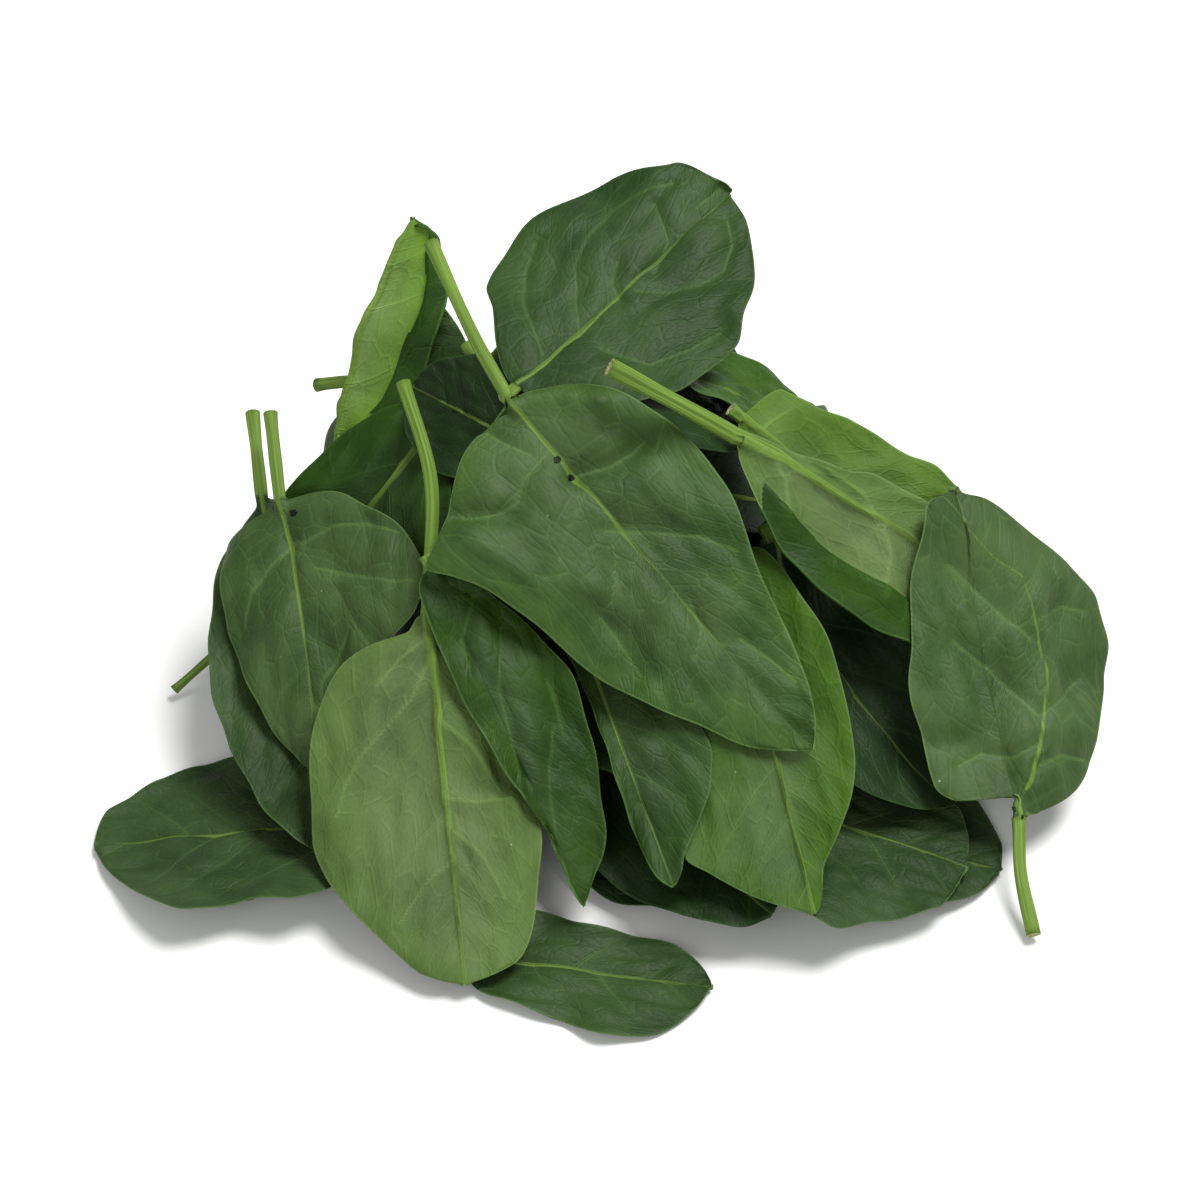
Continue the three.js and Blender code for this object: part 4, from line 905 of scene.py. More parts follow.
# Side veins seen in the picture, as pixels along each
VEINS = {
    "top_front": (
        [(545, 455), (525, 478), (518, 500), (490, 512), (460, 516)],
        [(575, 474), (610, 465), (632, 452), (645, 438)],
        [(605, 530), (650, 532), (700, 536), (738, 550)],
        [(612, 540), (617, 560), (612, 600), (600, 616)],
        [(600, 616), (622, 648), (642, 676)],
        [(690, 598), (700, 630), (696, 655)],
        [(740, 638), (768, 658), (796, 682)],
        [(532, 455), (500, 440), (485, 430)],
    ),
    "top_back": (
        [(580, 330), (577, 300), (576, 265), (590, 235), (615, 210), (650, 190), (672, 184)],
        [(543, 352), (535, 330), (523, 300), (525, 270), (535, 240)],
        [(620, 300), (612, 282), (618, 262)],
        [(635, 290), (670, 290), (700, 283), (725, 268), (733, 245), (728, 222)],
        [(600, 345), (650, 362), (690, 348), (722, 330)],
        [(655, 270), (668, 240), (655, 205)],
        [(697, 208), (722, 186)],
    ),
    "left_upper": (
        [(300, 542), (330, 525), (365, 522), (398, 531)],
        [(315, 567), (350, 573), (390, 579), (414, 578)],
        [(295, 540), (270, 570), (254, 592), (245, 630)],
        [(342, 605), (348, 625), (335, 650), (322, 682), (320, 705)],
        [(335, 590), (352, 620), (368, 645)],
    ),
    "front_pale": (
        [(427, 665), (412, 700), (385, 730), (360, 760), (345, 790), (338, 818)],
        [(426, 640), (400, 660), (378, 688)],
        [(446, 800), (480, 803), (512, 800)],
        [(455, 860), (425, 885), (400, 925)],
        [(450, 830), (485, 860), (505, 900)],
        [(438, 720), (470, 745), (500, 790)],
    ),
    "front_folded": (
        [(500, 628), (499, 690), (511, 740), (520, 776)],
        [(553, 725), (548, 780), (556, 832)],
        [(474, 596), (462, 640), (470, 668)],
        [(545, 680), (556, 708), (562, 735)],
    ),
    "right_stalked": (
        [(742, 447), (770, 460), (783, 482), (786, 512)],
        [(826, 468), (858, 492), (880, 525), (888, 556), (880, 598)],
    ),
    "right_hanging": (
        [(955, 640), (985, 665), (1015, 695), (1035, 718)],
        [(950, 565), (985, 600), (1028, 640)],
        [(1042, 715), (1060, 700), (1078, 680)],
        [(1035, 745), (1015, 758), (985, 752), (960, 765)],
        [(1038, 765), (1060, 755), (1085, 760)],
        [(1036, 620), (1065, 605), (1085, 610)],
    ),
}
# Leaves with a finer mesh besides those with fine rows, and the share that rounds a tip off
CLOSE = ("right_dark", "top_small")
TIP_ROUND = 0.05
for each in HEAP:
    each.tip_round = TIP_ROUND
    for tone, names in LOOKS.items():
        if each.name in names:
            each.tone = tone
    if each.name in VEINS:
        each.detail = "finest"
    elif each.fine or each.name in CLOSE:
        each.detail = "close"
    elif each.name.startswith("core"):
        each.detail = "hidden"
        # Hidden leaves get the dark tone too, painted shade that darkens the gaps between leaves
        each.tone = "dark"


def waves(at, count, shortest, longest, seed):
    """A smooth uneven field over flat places, about 1 high, from sine waves in random directions."""
    random = np.random.default_rng(seed)
    total = np.zeros(at.shape[:-1])
    for _ in range(count):
        turn = random.uniform(0, 2 * math.pi)
        length = random.uniform(shortest, longest)
        along = at[..., 0] * math.cos(turn) + at[..., 1] * math.sin(turn)
        total += np.sin(2 * np.pi * along / length + random.uniform(0, 2 * math.pi))
    return total / math.sqrt(count)


def cell_gap(x, y, seed):
    """How far a place is from the border of its cell, for cells centred unevenly in unit squares."""
    first = np.full(x.shape, 9.0)
    second = np.full(x.shape, 9.0)
    for i in (-1, 0, 1):
        for j in (-1, 0, 1):
            cell_x, cell_y = np.floor(x) + i, np.floor(y) + j
            draw = np.sin(cell_x * 127.1 + cell_y * 311.7 + seed * 17.3) * 43758.5453
            draw_2 = np.sin(cell_x * 269.5 + cell_y * 183.3 + seed * 7.9) * 24634.6345
            centre_x = cell_x + 0.5 + 0.3 * (draw - np.floor(draw) - 0.5)
            centre_y = cell_y + 0.5 + 0.8 * (draw_2 - np.floor(draw_2) - 0.5)
            gap = np.hypot(x - centre_x, y - centre_y)
            second = np.where(gap < first, first, np.minimum(second, gap))
            first = np.minimum(first, gap)
    return second - first


# Rows along a blade and columns on each half of it. The first columns keep to the midrib, at
# these multiples of its half width.
DETAIL = {"finest": (150, 40), "close": (108, 27), "plain": (64, 17), "hidden": (30, 9)}
RIB_COLUMNS = np.array([0, 0.4, 0.8, 1.25, 1.8])
STALK_STEP = 1.6

# Half thicknesses, heights and spacings of a fine leaf, mostly in millimetres
SHEET_HALF = 0.2
EDGE_HALF = 0.06
QUILT = 0.7
VEIN_GROOVE = 0.22
VEIN_RIDGE = 0.16
RIB_GROOVE = 0.3
VEIN_SPACING = 15.0
VEIN_SOFTNESS = 0.4
MARGIN_UNEVENNESS = 0.25
SWELL = 0.5
FLUTES = 5
FLUTE_DEPTH = 0.09
CHANNEL_DEPTH = 0.22
CHANNEL_WIDTH = 0.45
SEED_STEP = 37.7
CUT_RIM = 0.8
CUT_RIM_DEPTH = 0.12
CUT_DEPTH = 0.45
FLAP_RISE = 1.0
REST_GAP = 0.2


def fine_stations(rows):
    t = np.arange(rows + 1) / rows
    return t - 0.75 * np.sin(2 * np.pi * t) / (2 * np.pi)


def column_shares(leaf, u, count, rib):
    """Signed share of each half width for every row and column, close together at the midrib."""
    index = np.arange(count + 1)
    angles = np.sin(np.pi / 2 * index / (count + 0.5))
    sides = []
    for s in (0, 1):
        half = side_half(leaf, s, u)
        edge = len(RIB_COLUMNS) - 1
        near = RIB_COLUMNS[None] * rib[:, None] / half[:, None]
        t = np.clip((index[None] - edge) / (count - edge), 0, 1)
        outer = near[:, -1:] + (1 - near[:, -1:]) * (1 - (1 - t) ** 1.25)
        ideal = outer
        ideal[:, :edge + 1] = near
        blend = smoothstep(half / rib, 1.15, 3.6)[:, None]
        sides.append(lerp(angles[None], ideal, blend))
    return np.hstack([-sides[0][:, :0:-1], sides[1]])


def stalk_curve(leaf, base, ahead):
    """Smooth centre line of the stalk in the world, from the cut end to the blade's base."""
    rows = leaf.grid.stalk_rows - 1
    local = leaf.grid.p[:rows].mean(1)
    lifted = leaf.lift(leaf.grid.p[:rows, :, :2].reshape(-1, 2)).reshape(rows, -1).mean(1)
    local[:, 2] += lifted
    knots = np.vstack([in_world(leaf.frame, local), base, ahead])
    knots = np.vstack([2 * knots[0] - knots[1], knots])
    made = []
    for k in range(1, len(knots) - 2):
        p0, p1, p2, p3 = knots[k - 1:k + 3]
        steps = max(2, int(np.linalg.norm(p2 - p1) / STALK_STEP))
        gap = np.linalg.norm(p2 - p1)
        m1 = (p2 - p0) / (np.linalg.norm(p1 - p0) + gap) * gap
        m2 = (p3 - p1) / (np.linalg.norm(p3 - p2) + gap) * gap
        for t in np.arange(steps) / steps:
            made.append(
                p1 * (2 * t**3 - 3 * t**2 + 1) + m1 * (t**3 - 2 * t**2 + t)
                + p2 * (3 * t**2 - 2 * t**3) + m2 * (t**3 - t**2)
            )
    return np.array(made)


def vein_field(leaf, u, x, share, side):
    """Which side vein a place belongs to, with whole numbers on the veins, and how far along it."""
    count = max(4, round(leaf.length / VEIN_SPACING))
    slope = -0.1 + 1.05 * smoothstep(u, 0, 0.5)
    start = u - (np.abs(x) * slope + 1.5 * share**2) / leaf.length
    number = count * start + 0.37 * side + leaf.phase
    number += 0.2 * np.sin(2.1 * number + leaf.order) + 0.05 * np.sin(0.24 * np.abs(x) + 2 * number)
    reach = np.abs(x) * np.sqrt(1 + slope**2) * count / leaf.length
    return number, reach


def in_picture(places):
    """Pixels at which places in the world are seen."""
    offset = places - EYE
    depth = -(offset @ TO_EYE)
    x = PICTURE_SIZE / 2 + offset[..., 0] / depth * VIEW_DISTANCE / PIXEL
    y = PICTURE_SIZE / 2 - (offset @ PICTURE_UP) / depth * VIEW_DISTANCE / PIXEL
    return np.stack([x, y], -1)


def off_polyline(pixels, line):
    """Distance in millimetres of pixels from a line through several pixels."""
    line = np.array(line, float)
    closest = np.full(pixels.shape[:-1], 1e9)
    for start, end in zip(line[:-1], line[1:]):
        along = end - start
        t = np.clip(((pixels - start) @ along) / (along @ along), 0, 1)
        gap = np.linalg.norm(pixels - start - t[..., None] * along, axis=-1)
        closest = np.minimum(closest, gap)
    return closest * PIXEL


def stalk_rings(leaf, curve, end, side, angle):
    """Upper and lower halves of the stalk's rings from the cut end on, grooved along the stalk."""
    tangent = unit(np.vstack([curve[1:], end]) - curve)
    sides = np.zeros_like(curve)
    for k in range(len(curve) - 1, -1, -1):
        side = unit(side - tangent[k] * (side @ tangent[k]))
        sides[k] = side
    normals = np.cross(tangent, sides)
    toward_cut = 1 - np.arange(len(curve)) / len(curve)
    uneven = 0.04 * np.sin(9 * toward_cut + leaf.order)
    thick = leaf.stalk_radius * (1 + 0.1 * smoothstep(toward_cut, 0.6, 1) + uneven)
    fluted = smoothstep(1 - toward_cut, 0, 0.08) * smoothstep(toward_cut, 0, 0.2)
    rings = []
    for sign in (1, -1):
        turned = angle[None] + (0 if sign > 0 else np.pi)
        flute = 1 - FLUTE_DEPTH * fluted[:, None] * (1 - np.cos(FLUTES * turned))
        # A shallow channel runs along the side that carries on as the blade's upper face
        channel = CHANNEL_DEPTH * np.exp(-((angle / CHANNEL_WIDTH) ** 2))
        channel = channel * (sign == (-1 if leaf.under else 1))
        r = thick[:, None] * (flute - channel[None] * fluted[:, None])
        side_part = sides[:, None] * (r * np.sin(angle))[..., None]
        up_part = sign * normals[:, None] * (r * np.cos(angle))[..., None]
        rings.append(curve[:, None] + side_part + up_part)
    return rings, tangent[0]


def closed_mesh(upper, lower, upper_kind, lower_kind, turned_over, inward):
    """Vertices, faces and material numbers of the closed skin round a leaf's two faces."""
    verts = np.concatenate([upper, lower[:, ::-1]], 1)
    total, ring = verts.shape[:2]
    half = ring // 2
    grid = np.arange(total * ring).reshape(total, ring)
    p, q = grid[:-1], grid[1:]
    quads = np.stack([p, q, np.roll(q, -1, 1), np.roll(p, -1, 1)], -1).reshape(-1, 4)
    kinds = np.full((total - 1, ring), lower_kind)
    kinds[:, :half - 1] = upper_kind
    kinds[-len(turned_over):, :half - 1][turned_over] = lower_kind
    # The tip's thin end
    last = grid[-1]
    tip = [[last[j], last[ring - 1 - j], last[ring - 2 - j], last[j + 1]] for j in range(half - 1)]
    # The cut end: a rim, a sunken ring and its middle
    centre = verts[0].mean(0)
    inner = centre + (verts[0] - centre) * CUT_RIM + inward * CUT_RIM_DEPTH
    bottom = centre + inward * CUT_DEPTH
    inner_index = total * ring + np.arange(ring)
    following = np.roll(inner_index, -1)
    rim = np.stack([grid[0], np.roll(grid[0], -1), following, inner_index], 1).tolist()
    fan = [[at, after, inner_index[-1] + 1] for at, after in zip(inner_index, following)]
    vertices = np.concatenate([verts.reshape(-1, 3), inner, bottom[None]])
    # Nothing dips into the surface the heap lies on
    height = vertices[:, 2]
    vertices[:, 2] = (height + np.sqrt(height**2 + (2 * REST_GAP) ** 2)) / 2
    kinds = kinds.ravel().tolist() + [lower_kind] * len(tip) + [2] * (len(rim) + len(fan))
    return (vertices + SHIFT) / 1000, quads.tolist() + tip + rim + fan, kinds


def build_leaf(leaf):
    """Vertices, faces, material numbers and attributes of one closed leaf."""
    rows, count = DETAIL[leaf.detail]
    u = fine_stations(rows)
    radius = leaf.stalk_radius
    rib = radius * (1 - 0.68 * u**0.7)
    share = column_shares(leaf, u, count, rib)
    points, tangents, sides, normals = unit_midrib(leaf, u)
    x, z = section(leaf, u, share, SMOOTH_WALK)
    size = np.abs(share)
    flat = np.stack([np.broadcast_to(u[:, None] * leaf.length, x.shape), x], -1)
    # Uneven margins, and blades that rise and fall a little all over
    uneven = waves(flat[..., :1] * [[1, 0]], 4, 9, 26, leaf.order)
    x = x + np.sign(x) * size**3 * MARGIN_UNEVENNESS * uneven
    swell = SWELL * waves(flat, 7, 14, 36, leaf.order + 90) * smoothstep(u, 0, 0.2)[:, None]
    frill = MARGIN_UNEVENNESS * waves(flat, 5, 8, 18, leaf.order + 190) * size**3
    z = z + (swell + frill) * smoothstep(u, 0, 0.15)[:, None]
    centres = points * leaf.length
    local = centres[:, None] + sides[:, None] * x[..., None] + normals[:, None] * z[..., None]
    lifts = leaf.lift(local[..., :2].reshape(-1, 2)).reshape(x.shape)
    local[..., 2] += lifts
    middle = in_world(leaf.frame, local)
    facing = face_normals(middle, 0)
    pixels = in_picture(middle)
    for rise, wide, line in RELIEF.get(leaf.name, ()):
        hill = rise * np.exp(-((off_polyline(pixels, line) / wide) ** 2))
        middle = middle + facing * hill[..., None]
    off_seen = np.full(x.shape, 99.0)
    for line in VEINS.get(leaf.name, ()):
        gap = off_polyline(pixels, line)
        off_seen = np.minimum(off_seen, np.hypot(gap, VEIN_SOFTNESS) - VEIN_SOFTNESS)
    furrow = np.exp(-((off_seen / 0.9) ** 2)) * 0.38 + np.exp(-((off_seen / 3.4) ** 2)) * 0.6
    middle = middle - facing * (furrow * (-1 if leaf.under else 1))[..., None]
    facing = face_normals(middle, 0)

    number, reach = vein_field(leaf, u[:, None], x, size, (share > 0) * 1.0)
    off_vein = np.abs(number - np.round(number)) * VEIN_SPACING * 0.8
    clear = smoothstep(u, 0.03, 0.14)[:, None]
    vein = np.exp(-((off_vein / 1.1) ** 2)) * (1 - 0.8 * size) * clear
    vein = vein * (0.25 if leaf.name in VEINS else 1)
    quilt = smoothstep(cell_gap(number, reach * 1.5, leaf.order), 0.0, 0.75) - 0.5
    quilt = quilt * QUILT * clear * smoothstep((1 - size) * 20, 0, 4)
    grown = smoothstep(u, 0, 0.07)[:, None]
    round_half = np.sqrt(np.maximum(radius**2 - x**2, 0))
    halves = [side_half(leaf, s, u)[:, None] for s in (0, 1)]
    edge = (1 - size) * np.where(share < 0, *halves)
    sheet = lerp(EDGE_HALF, SHEET_HALF, smoothstep(edge, 0, 1.2))
    off_rib = np.abs(x)
    if leaf.name in BENT_MIDRIBS:
        off_bent = off_polyline(pixels, BENT_MIDRIBS[leaf.name])
        off_rib = lerp(off_rib, off_bent, smoothstep(u, 0.02, 0.08)[:, None])
    across = np.minimum(off_rib / (1.5 * rib[:, None]), 1)
    ridge = 0.9 * rib[:, None] * (0.5 + 0.5 * np.cos(np.pi * across))
    ridge = ridge * smoothstep(1 - u, 0, 0.12)[:, None]
    groove = RIB_GROOVE * np.exp(-((off_rib / rib[:, None]) ** 2)) * (1 - u[:, None])
    under = lerp(round_half, sheet + ridge + VEIN_RIDGE * vein, grown)
    top = lerp(round_half, sheet - groove - VEIN_GROOVE * vein, grown)
    # The quilting bulges towards the blade's upper side
    bulge = -quilt if leaf.under else quilt
    middle = middle + facing * bulge[..., None]
    above, below = (under, top) if leaf.under else (top, under)
    # A margin turned over onto the blade lies over it, up to the fold
    flap_side, flap_start = FLAPS.get(leaf.name, (0, 2))
    flap = ((share > 0) == (flap_side == 1)) * smoothstep(size, flap_start, flap_start + 0.05)
    flap = flap * (1 - 0.6 * smoothstep(size, flap_start + 0.05, 1))
    flap = flap * smoothstep(u, 0.08, 0.2)[:, None]
    above = above + FLAP_RISE * flap
    upper = middle + facing * above[..., None]
    lower = middle - facing * below[..., None]
    # Painted light coming through thin margins, and the same tint on turned-over margins
    glow_and_flap_tint = np.where(share < 0, *GLOW.get(leaf.name, (0, 0))) * smoothstep(-edge, -15, -1)
    glow_and_flap_tint = np.maximum(glow_and_flap_tint, flap > 0.5)
    off_hole = np.full(x.shape, 9.0)
    for pixel in HOLES.get(leaf.name, ()):
        ray = sight_line(pixel)[1]
        away = (upper - EYE) - ((upper - EYE) @ ray)[..., None] * ray
        off_hole = np.minimum(off_hole, np.linalg.norm(away, axis=-1))

    base = in_world(leaf.frame, np.array([0, 0, lifts[0, count]]))
    curve = stalk_curve(leaf, base, middle[6, count])
    angle = np.arcsin(np.sin(np.pi / 2 * np.arange(-count, count + 1) / (count + 0.5)))
    first_side = unit(middle[0, -1] - middle[0, 0])
    rings, inward = stalk_rings(leaf, curve, middle[0, count], first_side, angle)
    vertices, faces, kinds = closed_mesh(
        np.concatenate([rings[0], upper]), np.concatenate([rings[1], lower]),
        int(leaf.under), int(not leaf.under), flap[1:, 1:] + flap[:-1, :-1] > 0.5, inward,
    )
    # Places and marks that the materials read, on the stalk and then on the blade
    distance = np.linalg.norm(curve - middle[0, count], axis=1)[:, None]
    faint = FAINTNESS if leaf.name in FAINT_MIDRIBS else 0
    seed = leaf.order * SEED_STEP
    layers = {
        "leaf_place": ((-distance, radius * angle, seed), (flat[..., 0], x, seed)),
        "leaf_vein": ((0.5, 0, 9), (number, off_rib / rib[:, None] + faint, edge)),
        "leaf_net": ((0, 0, 1), (reach, size, 0)),
        "leaf_extra": ((0, 9, 99), (glow_and_flap_tint, off_hole, off_seen)),
    }
    attributes = {}
    for name, parts in layers.items():
        values = np.concatenate([
            np.stack([np.broadcast_to(value, (length, x.shape[1])) for value in part], -1)
            for length, part in zip((len(curve), len(x)), parts)
        ])
        both = np.concatenate([values, values[:, ::-1]], 1).reshape(-1, 3)
        attributes[name] = np.concatenate([both, np.tile(both[0], (2 * x.shape[1] + 1, 1))])
    return vertices, faces, kinds, attributes


class Graph:
    """Adds and joins the nodes of one material."""

    def __init__(self, name):
        self.material = bpy.data.materials.new(name)
        self.material.use_nodes = True
        self.tree = self.material.node_tree
        self.tree.nodes.clear()
        self.out = self.add("ShaderNodeOutputMaterial")
        self.shader = self.add("ShaderNodeBsdfPrincipled")
        self.tree.links.new(self.shader.outputs[0], self.out.inputs[0])

    def add(self, kind, inputs=None, **settings):
        node = self.tree.nodes.new(kind)
        for key, value in settings.items():
            setattr(node, key, value)
        for key, value in (inputs or {}).items():
            self.put(node.inputs[key], value)
        return node

    def put(self, socket, value):
        if isinstance(value, bpy.types.NodeSocket):
            self.tree.links.new(value, socket)
        elif isinstance(value, tuple) and len(value) == 3 and socket.type == "RGBA":
            socket.default_value = (*value, 1)
        else:
            socket.default_value = value

    def math(self, operation, a, b=0.0, c=0.0):
        return self.add("ShaderNodeMath", {0: a, 1: b, 2: c}, operation=operation).outputs[0]

    def times(self, a, b):
        return self.math("MULTIPLY", a, b)

    def times_plus(self, a, b, c):
        return self.math("MULTIPLY_ADD", a, b, c)

    def mix(self, share, a, b, **settings):
        node = self.add("ShaderNodeMix", data_type="RGBA", **settings)
        for key, value in {0: share, 6: a, 7: b}.items():
            self.put(node.inputs[key], value)
        return node.outputs[2]

    def ramp(self, value, low, high, to_low=0.0, to_high=1.0):
        inputs = {0: value, 1: low, 2: high, 3: to_low, 4: to_high}
        return self.add("ShaderNodeMapRange", inputs, interpolation_type="SMOOTHSTEP").outputs[0]

    def split_attribute(self, name):
        vector = self.add("ShaderNodeAttribute", attribute_name=name).outputs["Vector"]
        return vector, self.add("ShaderNodeSeparateXYZ", {0: vector}).outputs

    def join(self, x, y, z):
        return self.add("ShaderNodeCombineXYZ", {0: x, 1: y, 2: z}).outputs[0]

    def noise(self, vector, scale, detail=2.0, roughness=0.5):
        inputs = {"Vector": vector, "Scale": scale, "Detail": detail, "Roughness": roughness}
        return self.add("ShaderNodeTexNoise", inputs).outputs[0]

    def cells(self, inputs, **settings):
        return self.add("ShaderNodeTexVoronoi", inputs, **settings).outputs["Distance"]

    def borders(self, vector, scale):
        """Distance to the borders of uneven cells."""
        inputs = {"Vector": vector, "Scale": scale, "Randomness": 0.85}
        return self.cells(inputs, feature="DISTANCE_TO_EDGE", voronoi_dimensions="2D")

    def bump(self, height, strength):
        inputs = {"Height": height, "Strength": strength, "Distance": BUMP_DISTANCE}
        return self.add("ShaderNodeBump", inputs).outputs[0]

    def finish(self, colour, roughness, **others):
        """Sets the shader's inputs and hands back the material."""
        inputs = {"Base Color": colour, "Roughness": roughness, **others}
        for key, value in inputs.items():
            self.put(self.shader.inputs[key.replace("_", " ")], value)
        return self.material


# Relief of the materials in metres, and their fixed colours
BUMP_DISTANCE = 0.0003
# Tint of the painted light coming through thin margins
PAINTED_GLOW_TINT = (0.76, 0.98, 0.3)
DRY_SPECK = (0.5, 0.52, 0.4)
# Painted shade seen through holes
HOLE_SHADE = (0.002, 0.006, 0.003)
CUT_DARK, CUT_PALE = (0.16, 0.19, 0.07), (0.42, 0.42, 0.22)
STALK_GREEN = (0.092, 0.155, 0.024)
STALK_PALE = 1.55
# How strongly a blade's two faces show their veins, net, midrib and relief
TOP = SimpleNamespace(
    vein_gain=2.3, fine=0.07, coarse=0.16, side=0.3, rib=(0.5, 0.2), rib_fade=0.22,
    gloss=0.52, specular=0.17, relief=-1.0,
)
UNDERSIDE = SimpleNamespace(
    vein_gain=1.6, fine=0.09, coarse=0.22, side=0.4, rib=(1.0, 0.6), rib_fade=0.45,
    gloss=0.55, specular=0.13, relief=1.0,
)


def lighter(colour, gain):
    return tuple(c * gain for c in colour)


def blade_material(name, deep, light, face):
    """One face of a blade: tone, side veins, a fine net between them, midrib and margin."""
    g = Graph(name)
    vein = lighter(light, face.vein_gain)
    place, (along, across, seed) = g.split_attribute("leaf_place")
    number, mark, edge = g.split_attribute("leaf_vein")[1]
    reach, size, on_stalk = g.split_attribute("leaf_net")[1]
    glow_and_flap_tint, off_hole, off_seen = g.split_attribute("leaf_extra")[1]
    broad = g.noise(place, 0.05, 2.0)
    patch = g.noise(place, 0.16, 3.0, 0.6)
    grain = g.noise(place, 1.4, 3.0, 0.62)
    tone = g.times_plus(broad, 0.65, g.times(patch, 0.35))
    colour = g.mix(g.ramp(tone, 0.36, 0.64), deep, light)
    colour = g.mix(g.times(g.ramp(grain, 0.4, 0.7), 0.14), colour, light)
    # Side veins, which thin out towards the margin
    gap = g.math("ABSOLUTE", g.math("SUBTRACT", number, g.math("ROUND", number)))
    wide = g.times_plus(size, -0.012, 0.026)
    side_vein = g.math("SUBTRACT", 1.0, g.ramp(gap, g.times(wide, 0.3), wide))
    side_vein = g.times(side_vein, g.ramp(size, 0.95, 0.35))
    near_vein = g.times(g.ramp(gap, 0.12, 0.0), g.ramp(size, 0.95, 0.35))
    # Where the picture shows a leaf's side veins, those of the pattern stay faint
    pattern = g.ramp(off_seen, 60.0, 90.0, 0.25, 1.0)
    seen_vein = g.times(g.ramp(off_seen, 0.36, 0.0), 0.85)
    near_seen = g.ramp(off_seen, 1.6, 0.3, 0.0, 0.5)
    side_vein = g.math("MAXIMUM", g.times(side_vein, pattern), seen_vein)
    near_vein = g.math("MAXIMUM", g.times(near_vein, pattern), near_seen)
    # The net between the side veins
    net_place = g.join(number, reach, seed)
    coarse = g.borders(net_place, 2.6)
    fine = g.borders(net_place, 9.0)
    colour = g.mix(g.times(near_vein, 0.1), colour, vein)
    colour = g.mix(g.times(g.ramp(fine, 0.08, 0.0), face.fine), colour, vein)
    colour = g.mix(g.times(g.ramp(coarse, 0.03, 0.0), face.coarse), colour, vein)
    colour = g.mix(g.times(side_vein, face.side), colour, vein)
    # Painted light coming through thin margins, a greener tint that also goes on margins turned over
    # onto the blade
    colour = g.mix(glow_and_flap_tint, colour, PAINTED_GLOW_TINT, blend_type="MULTIPLY")
    # The midrib is pale at the blade's base and fades towards the tip
    rib = g.ramp(mark, *face.rib)
    fading = g.ramp(along, 0.0, 75.0, 0.85, face.rib_fade)
    rib_share = g.math("MAXIMUM", g.times(rib, fading), on_stalk)
    streak = g.noise(g.join(g.times(along, 0.05), g.times(across, 2.4), seed), 1.0, 3.0)
    pale = g.mix(g.ramp(streak, 0.35, 0.65), STALK_GREEN, lighter(STALK_GREEN, STALK_PALE))
    colour = g.mix(rib_share, colour, pale)
    # A thin pale line along each margin, a painted edge highlight
    colour = g.mix(g.times(g.ramp(edge, 0.5, 0.08), 0.5), colour, vein)
    # Tiny dry specks, and holes painted near-black as the shade seen through them
    speck = g.ramp(g.cells({"Vector": place, "Scale": 0.11}, feature="F1"), 0.034, 0.02)
    speck = g.times(speck, g.ramp(patch, 0.5, 0.56))
    colour = g.mix(g.times(speck, 0.5), colour, DRY_SPECK)
    hole = g.ramp(g.times_plus(grain, 0.8, off_hole), 1.25, 1.0)
    colour = g.mix(hole, colour, HOLE_SHADE)
    # Fine relief: sunken veins above, raised ones below, and a pebbled skin
    height = g.times(side_vein, 0.5 * face.relief)
    height = g.times_plus(g.ramp(coarse, 0.1, 0.0), 0.34 * face.relief, height)
    height = g.times_plus(g.ramp(fine, 0.3, 0.0), 0.16 * face.relief, height)
    height = g.times_plus(grain, 0.4, height)
    height = g.times_plus(g.times(streak, rib_share), 0.6, height)
    height = g.times_plus(hole, -2.0, height)
    rough = g.times_plus(rib_share, 0.05, g.times_plus(patch, 0.16, face.gloss - 0.08))
    return g.finish(
        colour, rough, IOR=1.45, Specular_IOR_Level=face.specular, Normal=g.bump(height, 0.7)
    )


def cut_material():
    """The dry pale cut end of a stalk, with its darker bundles."""
    g = Graph("cut_end")
    fibres = g.noise(g.add("ShaderNodeTexCoord").outputs["Object"], 2600.0, 3.0, 0.6)
    colour = g.mix(g.ramp(fibres, 0.38, 0.62), CUT_DARK, CUT_PALE)
    return g.finish(colour, 0.75, Normal=g.bump(fibres, 0.6))


# Tones of the leaves: the upper face's deep and light green, then the underside's
DARK_TOP = ((0.011, 0.03, 0.005), (0.026, 0.058, 0.011))
PALE_UNDERSIDE = ((0.064, 0.103, 0.034), (0.096, 0.146, 0.05))
TONES = {
    "deep": ((0.015, 0.036, 0.008), (0.031, 0.062, 0.017), (0.042, 0.082, 0.022), (0.07, 0.12, 0.036)),
    "soft": ((0.024, 0.052, 0.012), (0.05, 0.09, 0.025), *PALE_UNDERSIDE),
    # The dark tone is painted shade, for leaves seen in shadow and for the hidden leaves
    "dark": ((0.006, 0.02, 0.003), (0.013, 0.034, 0.007), (0.011, 0.03, 0.005), (0.024, 0.055, 0.011)),
    "pale": (*DARK_TOP, *PALE_UNDERSIDE),
    "bright": (*DARK_TOP, (0.11, 0.18, 0.05), (0.15, 0.23, 0.07)),
    "vivid": ((0.021, 0.054, 0.007), (0.04, 0.086, 0.013), (0.06, 0.11, 0.023), (0.09, 0.15, 0.036)),
}
materials = {}
for tone, (deep, light, under_deep, under_light) in TONES.items():
    materials[tone] = (
        blade_material(f"{tone}_top", deep, light, TOP),
        blade_material(f"{tone}_underside", under_deep, under_light, UNDERSIDE),
    )
cut_end = cut_material()


def added(name, data):
    made = bpy.data.objects.new(name, data)
    bpy.context.scene.collection.objects.link(made)
    return made


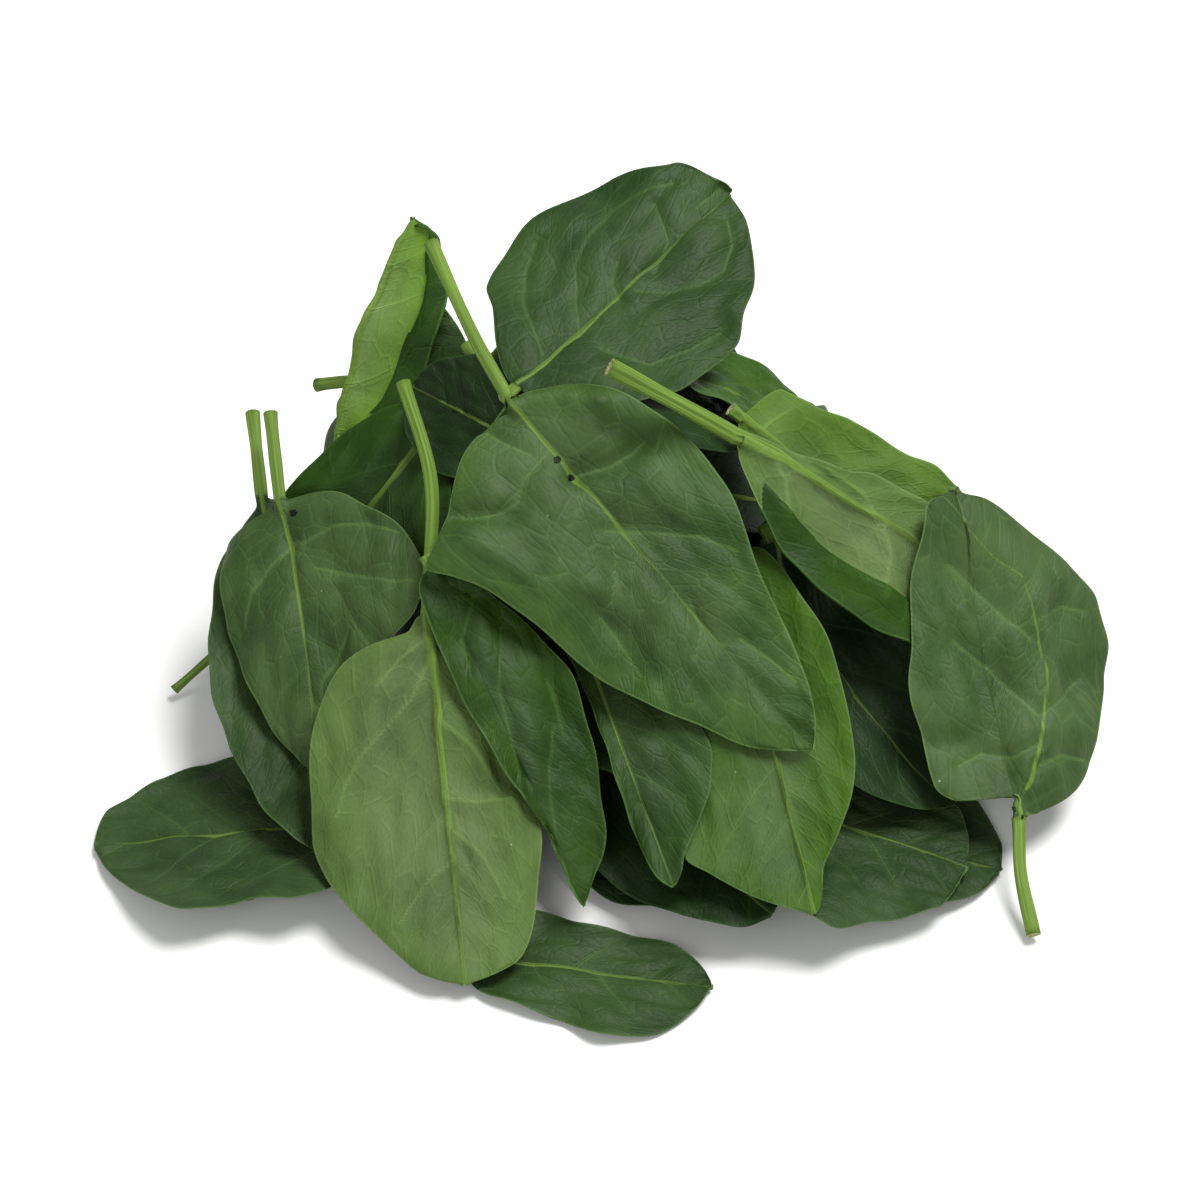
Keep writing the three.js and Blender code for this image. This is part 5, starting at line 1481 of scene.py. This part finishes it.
for each in HEAP:
    vertices, faces, kinds, attributes = build_leaf(each)
    mesh = bpy.data.meshes.new(each.name + "_leaf")
    mesh.from_pydata(vertices.tolist(), [], faces)
    for name, values in attributes.items():
        layer = mesh.attributes.new(name, "FLOAT_VECTOR", "POINT")
        layer.data.foreach_set("vector", values.astype(np.float32).ravel())
    for material in (*materials[each.tone], cut_end):
        mesh.materials.append(material)
    mesh.polygons.foreach_set("material_index", kinds)
    mesh.polygons.foreach_set("use_smooth", [True] * len(mesh.polygons))
    mesh.update()
    piece = added(each.name + "_leaf", mesh)
    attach(piece, "root")
    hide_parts(each.name)

# A plain pale floor
FLOOR_LEVEL = -0.0004
bpy.ops.mesh.primitive_circle_add(
    vertices=96, radius=3.0, fill_type="NGON", location=(0, 0, FLOOR_LEVEL)
)
floor = bpy.context.object
floor.name = "floor"
paper = Graph("floor_paper").finish((0.88, 0.88, 0.87), 0.85, Specular_IOR_Level=0.1)
floor.data.materials.append(paper)

# Lights: place and size in metres, power in watts
LIGHTS = {
    "softbox_above": ((0.4, 0.15, 1.1), 0.6, 17.0),
    "softbox_front": ((-0.35, -1.0, 0.75), 0.9, 4.0),
}
LIGHT_TARGET = (0, 0, 0.04)
WORLD_STRENGTH = 0.43
for name, (place, size, power) in LIGHTS.items():
    light = bpy.data.lights.new(name, "AREA")
    light.shape = "DISK"
    light.size = size
    light.energy = power
    lamp = added(name, light)
    lamp.location = place
    aim = np.array(LIGHT_TARGET) - np.array(place)
    lamp.rotation_euler = Vector(aim.tolist()).to_track_quat("-Z", "Y").to_euler()

bpy.context.scene.view_settings.view_transform = "Standard"
world = bpy.context.scene.world or bpy.data.worlds.new("world")
bpy.context.scene.world = world
world.use_nodes = True
background = world.node_tree.nodes["Background"]
background.inputs[0].default_value = (1.0, 1.0, 1.0, 1)
background.inputs[1].default_value = WORLD_STRENGTH

# The picture's camera: the width of the picture is 240 mm at the target
SENSOR_WIDTH = 36
camera_data = bpy.data.cameras.new("camera")
camera_data.sensor_width = SENSOR_WIDTH
camera_data.lens = SENSOR_WIDTH * VIEW_DISTANCE / (PICTURE_SIZE * PIXEL)
camera_data.clip_start = 0.01
camera = added("camera", camera_data)
camera.location = ((EYE + SHIFT) / 1000).tolist()
camera.rotation_euler = (math.radians(90 - VIEW_ELEVATION), 0, 0)
bpy.context.scene.camera = camera
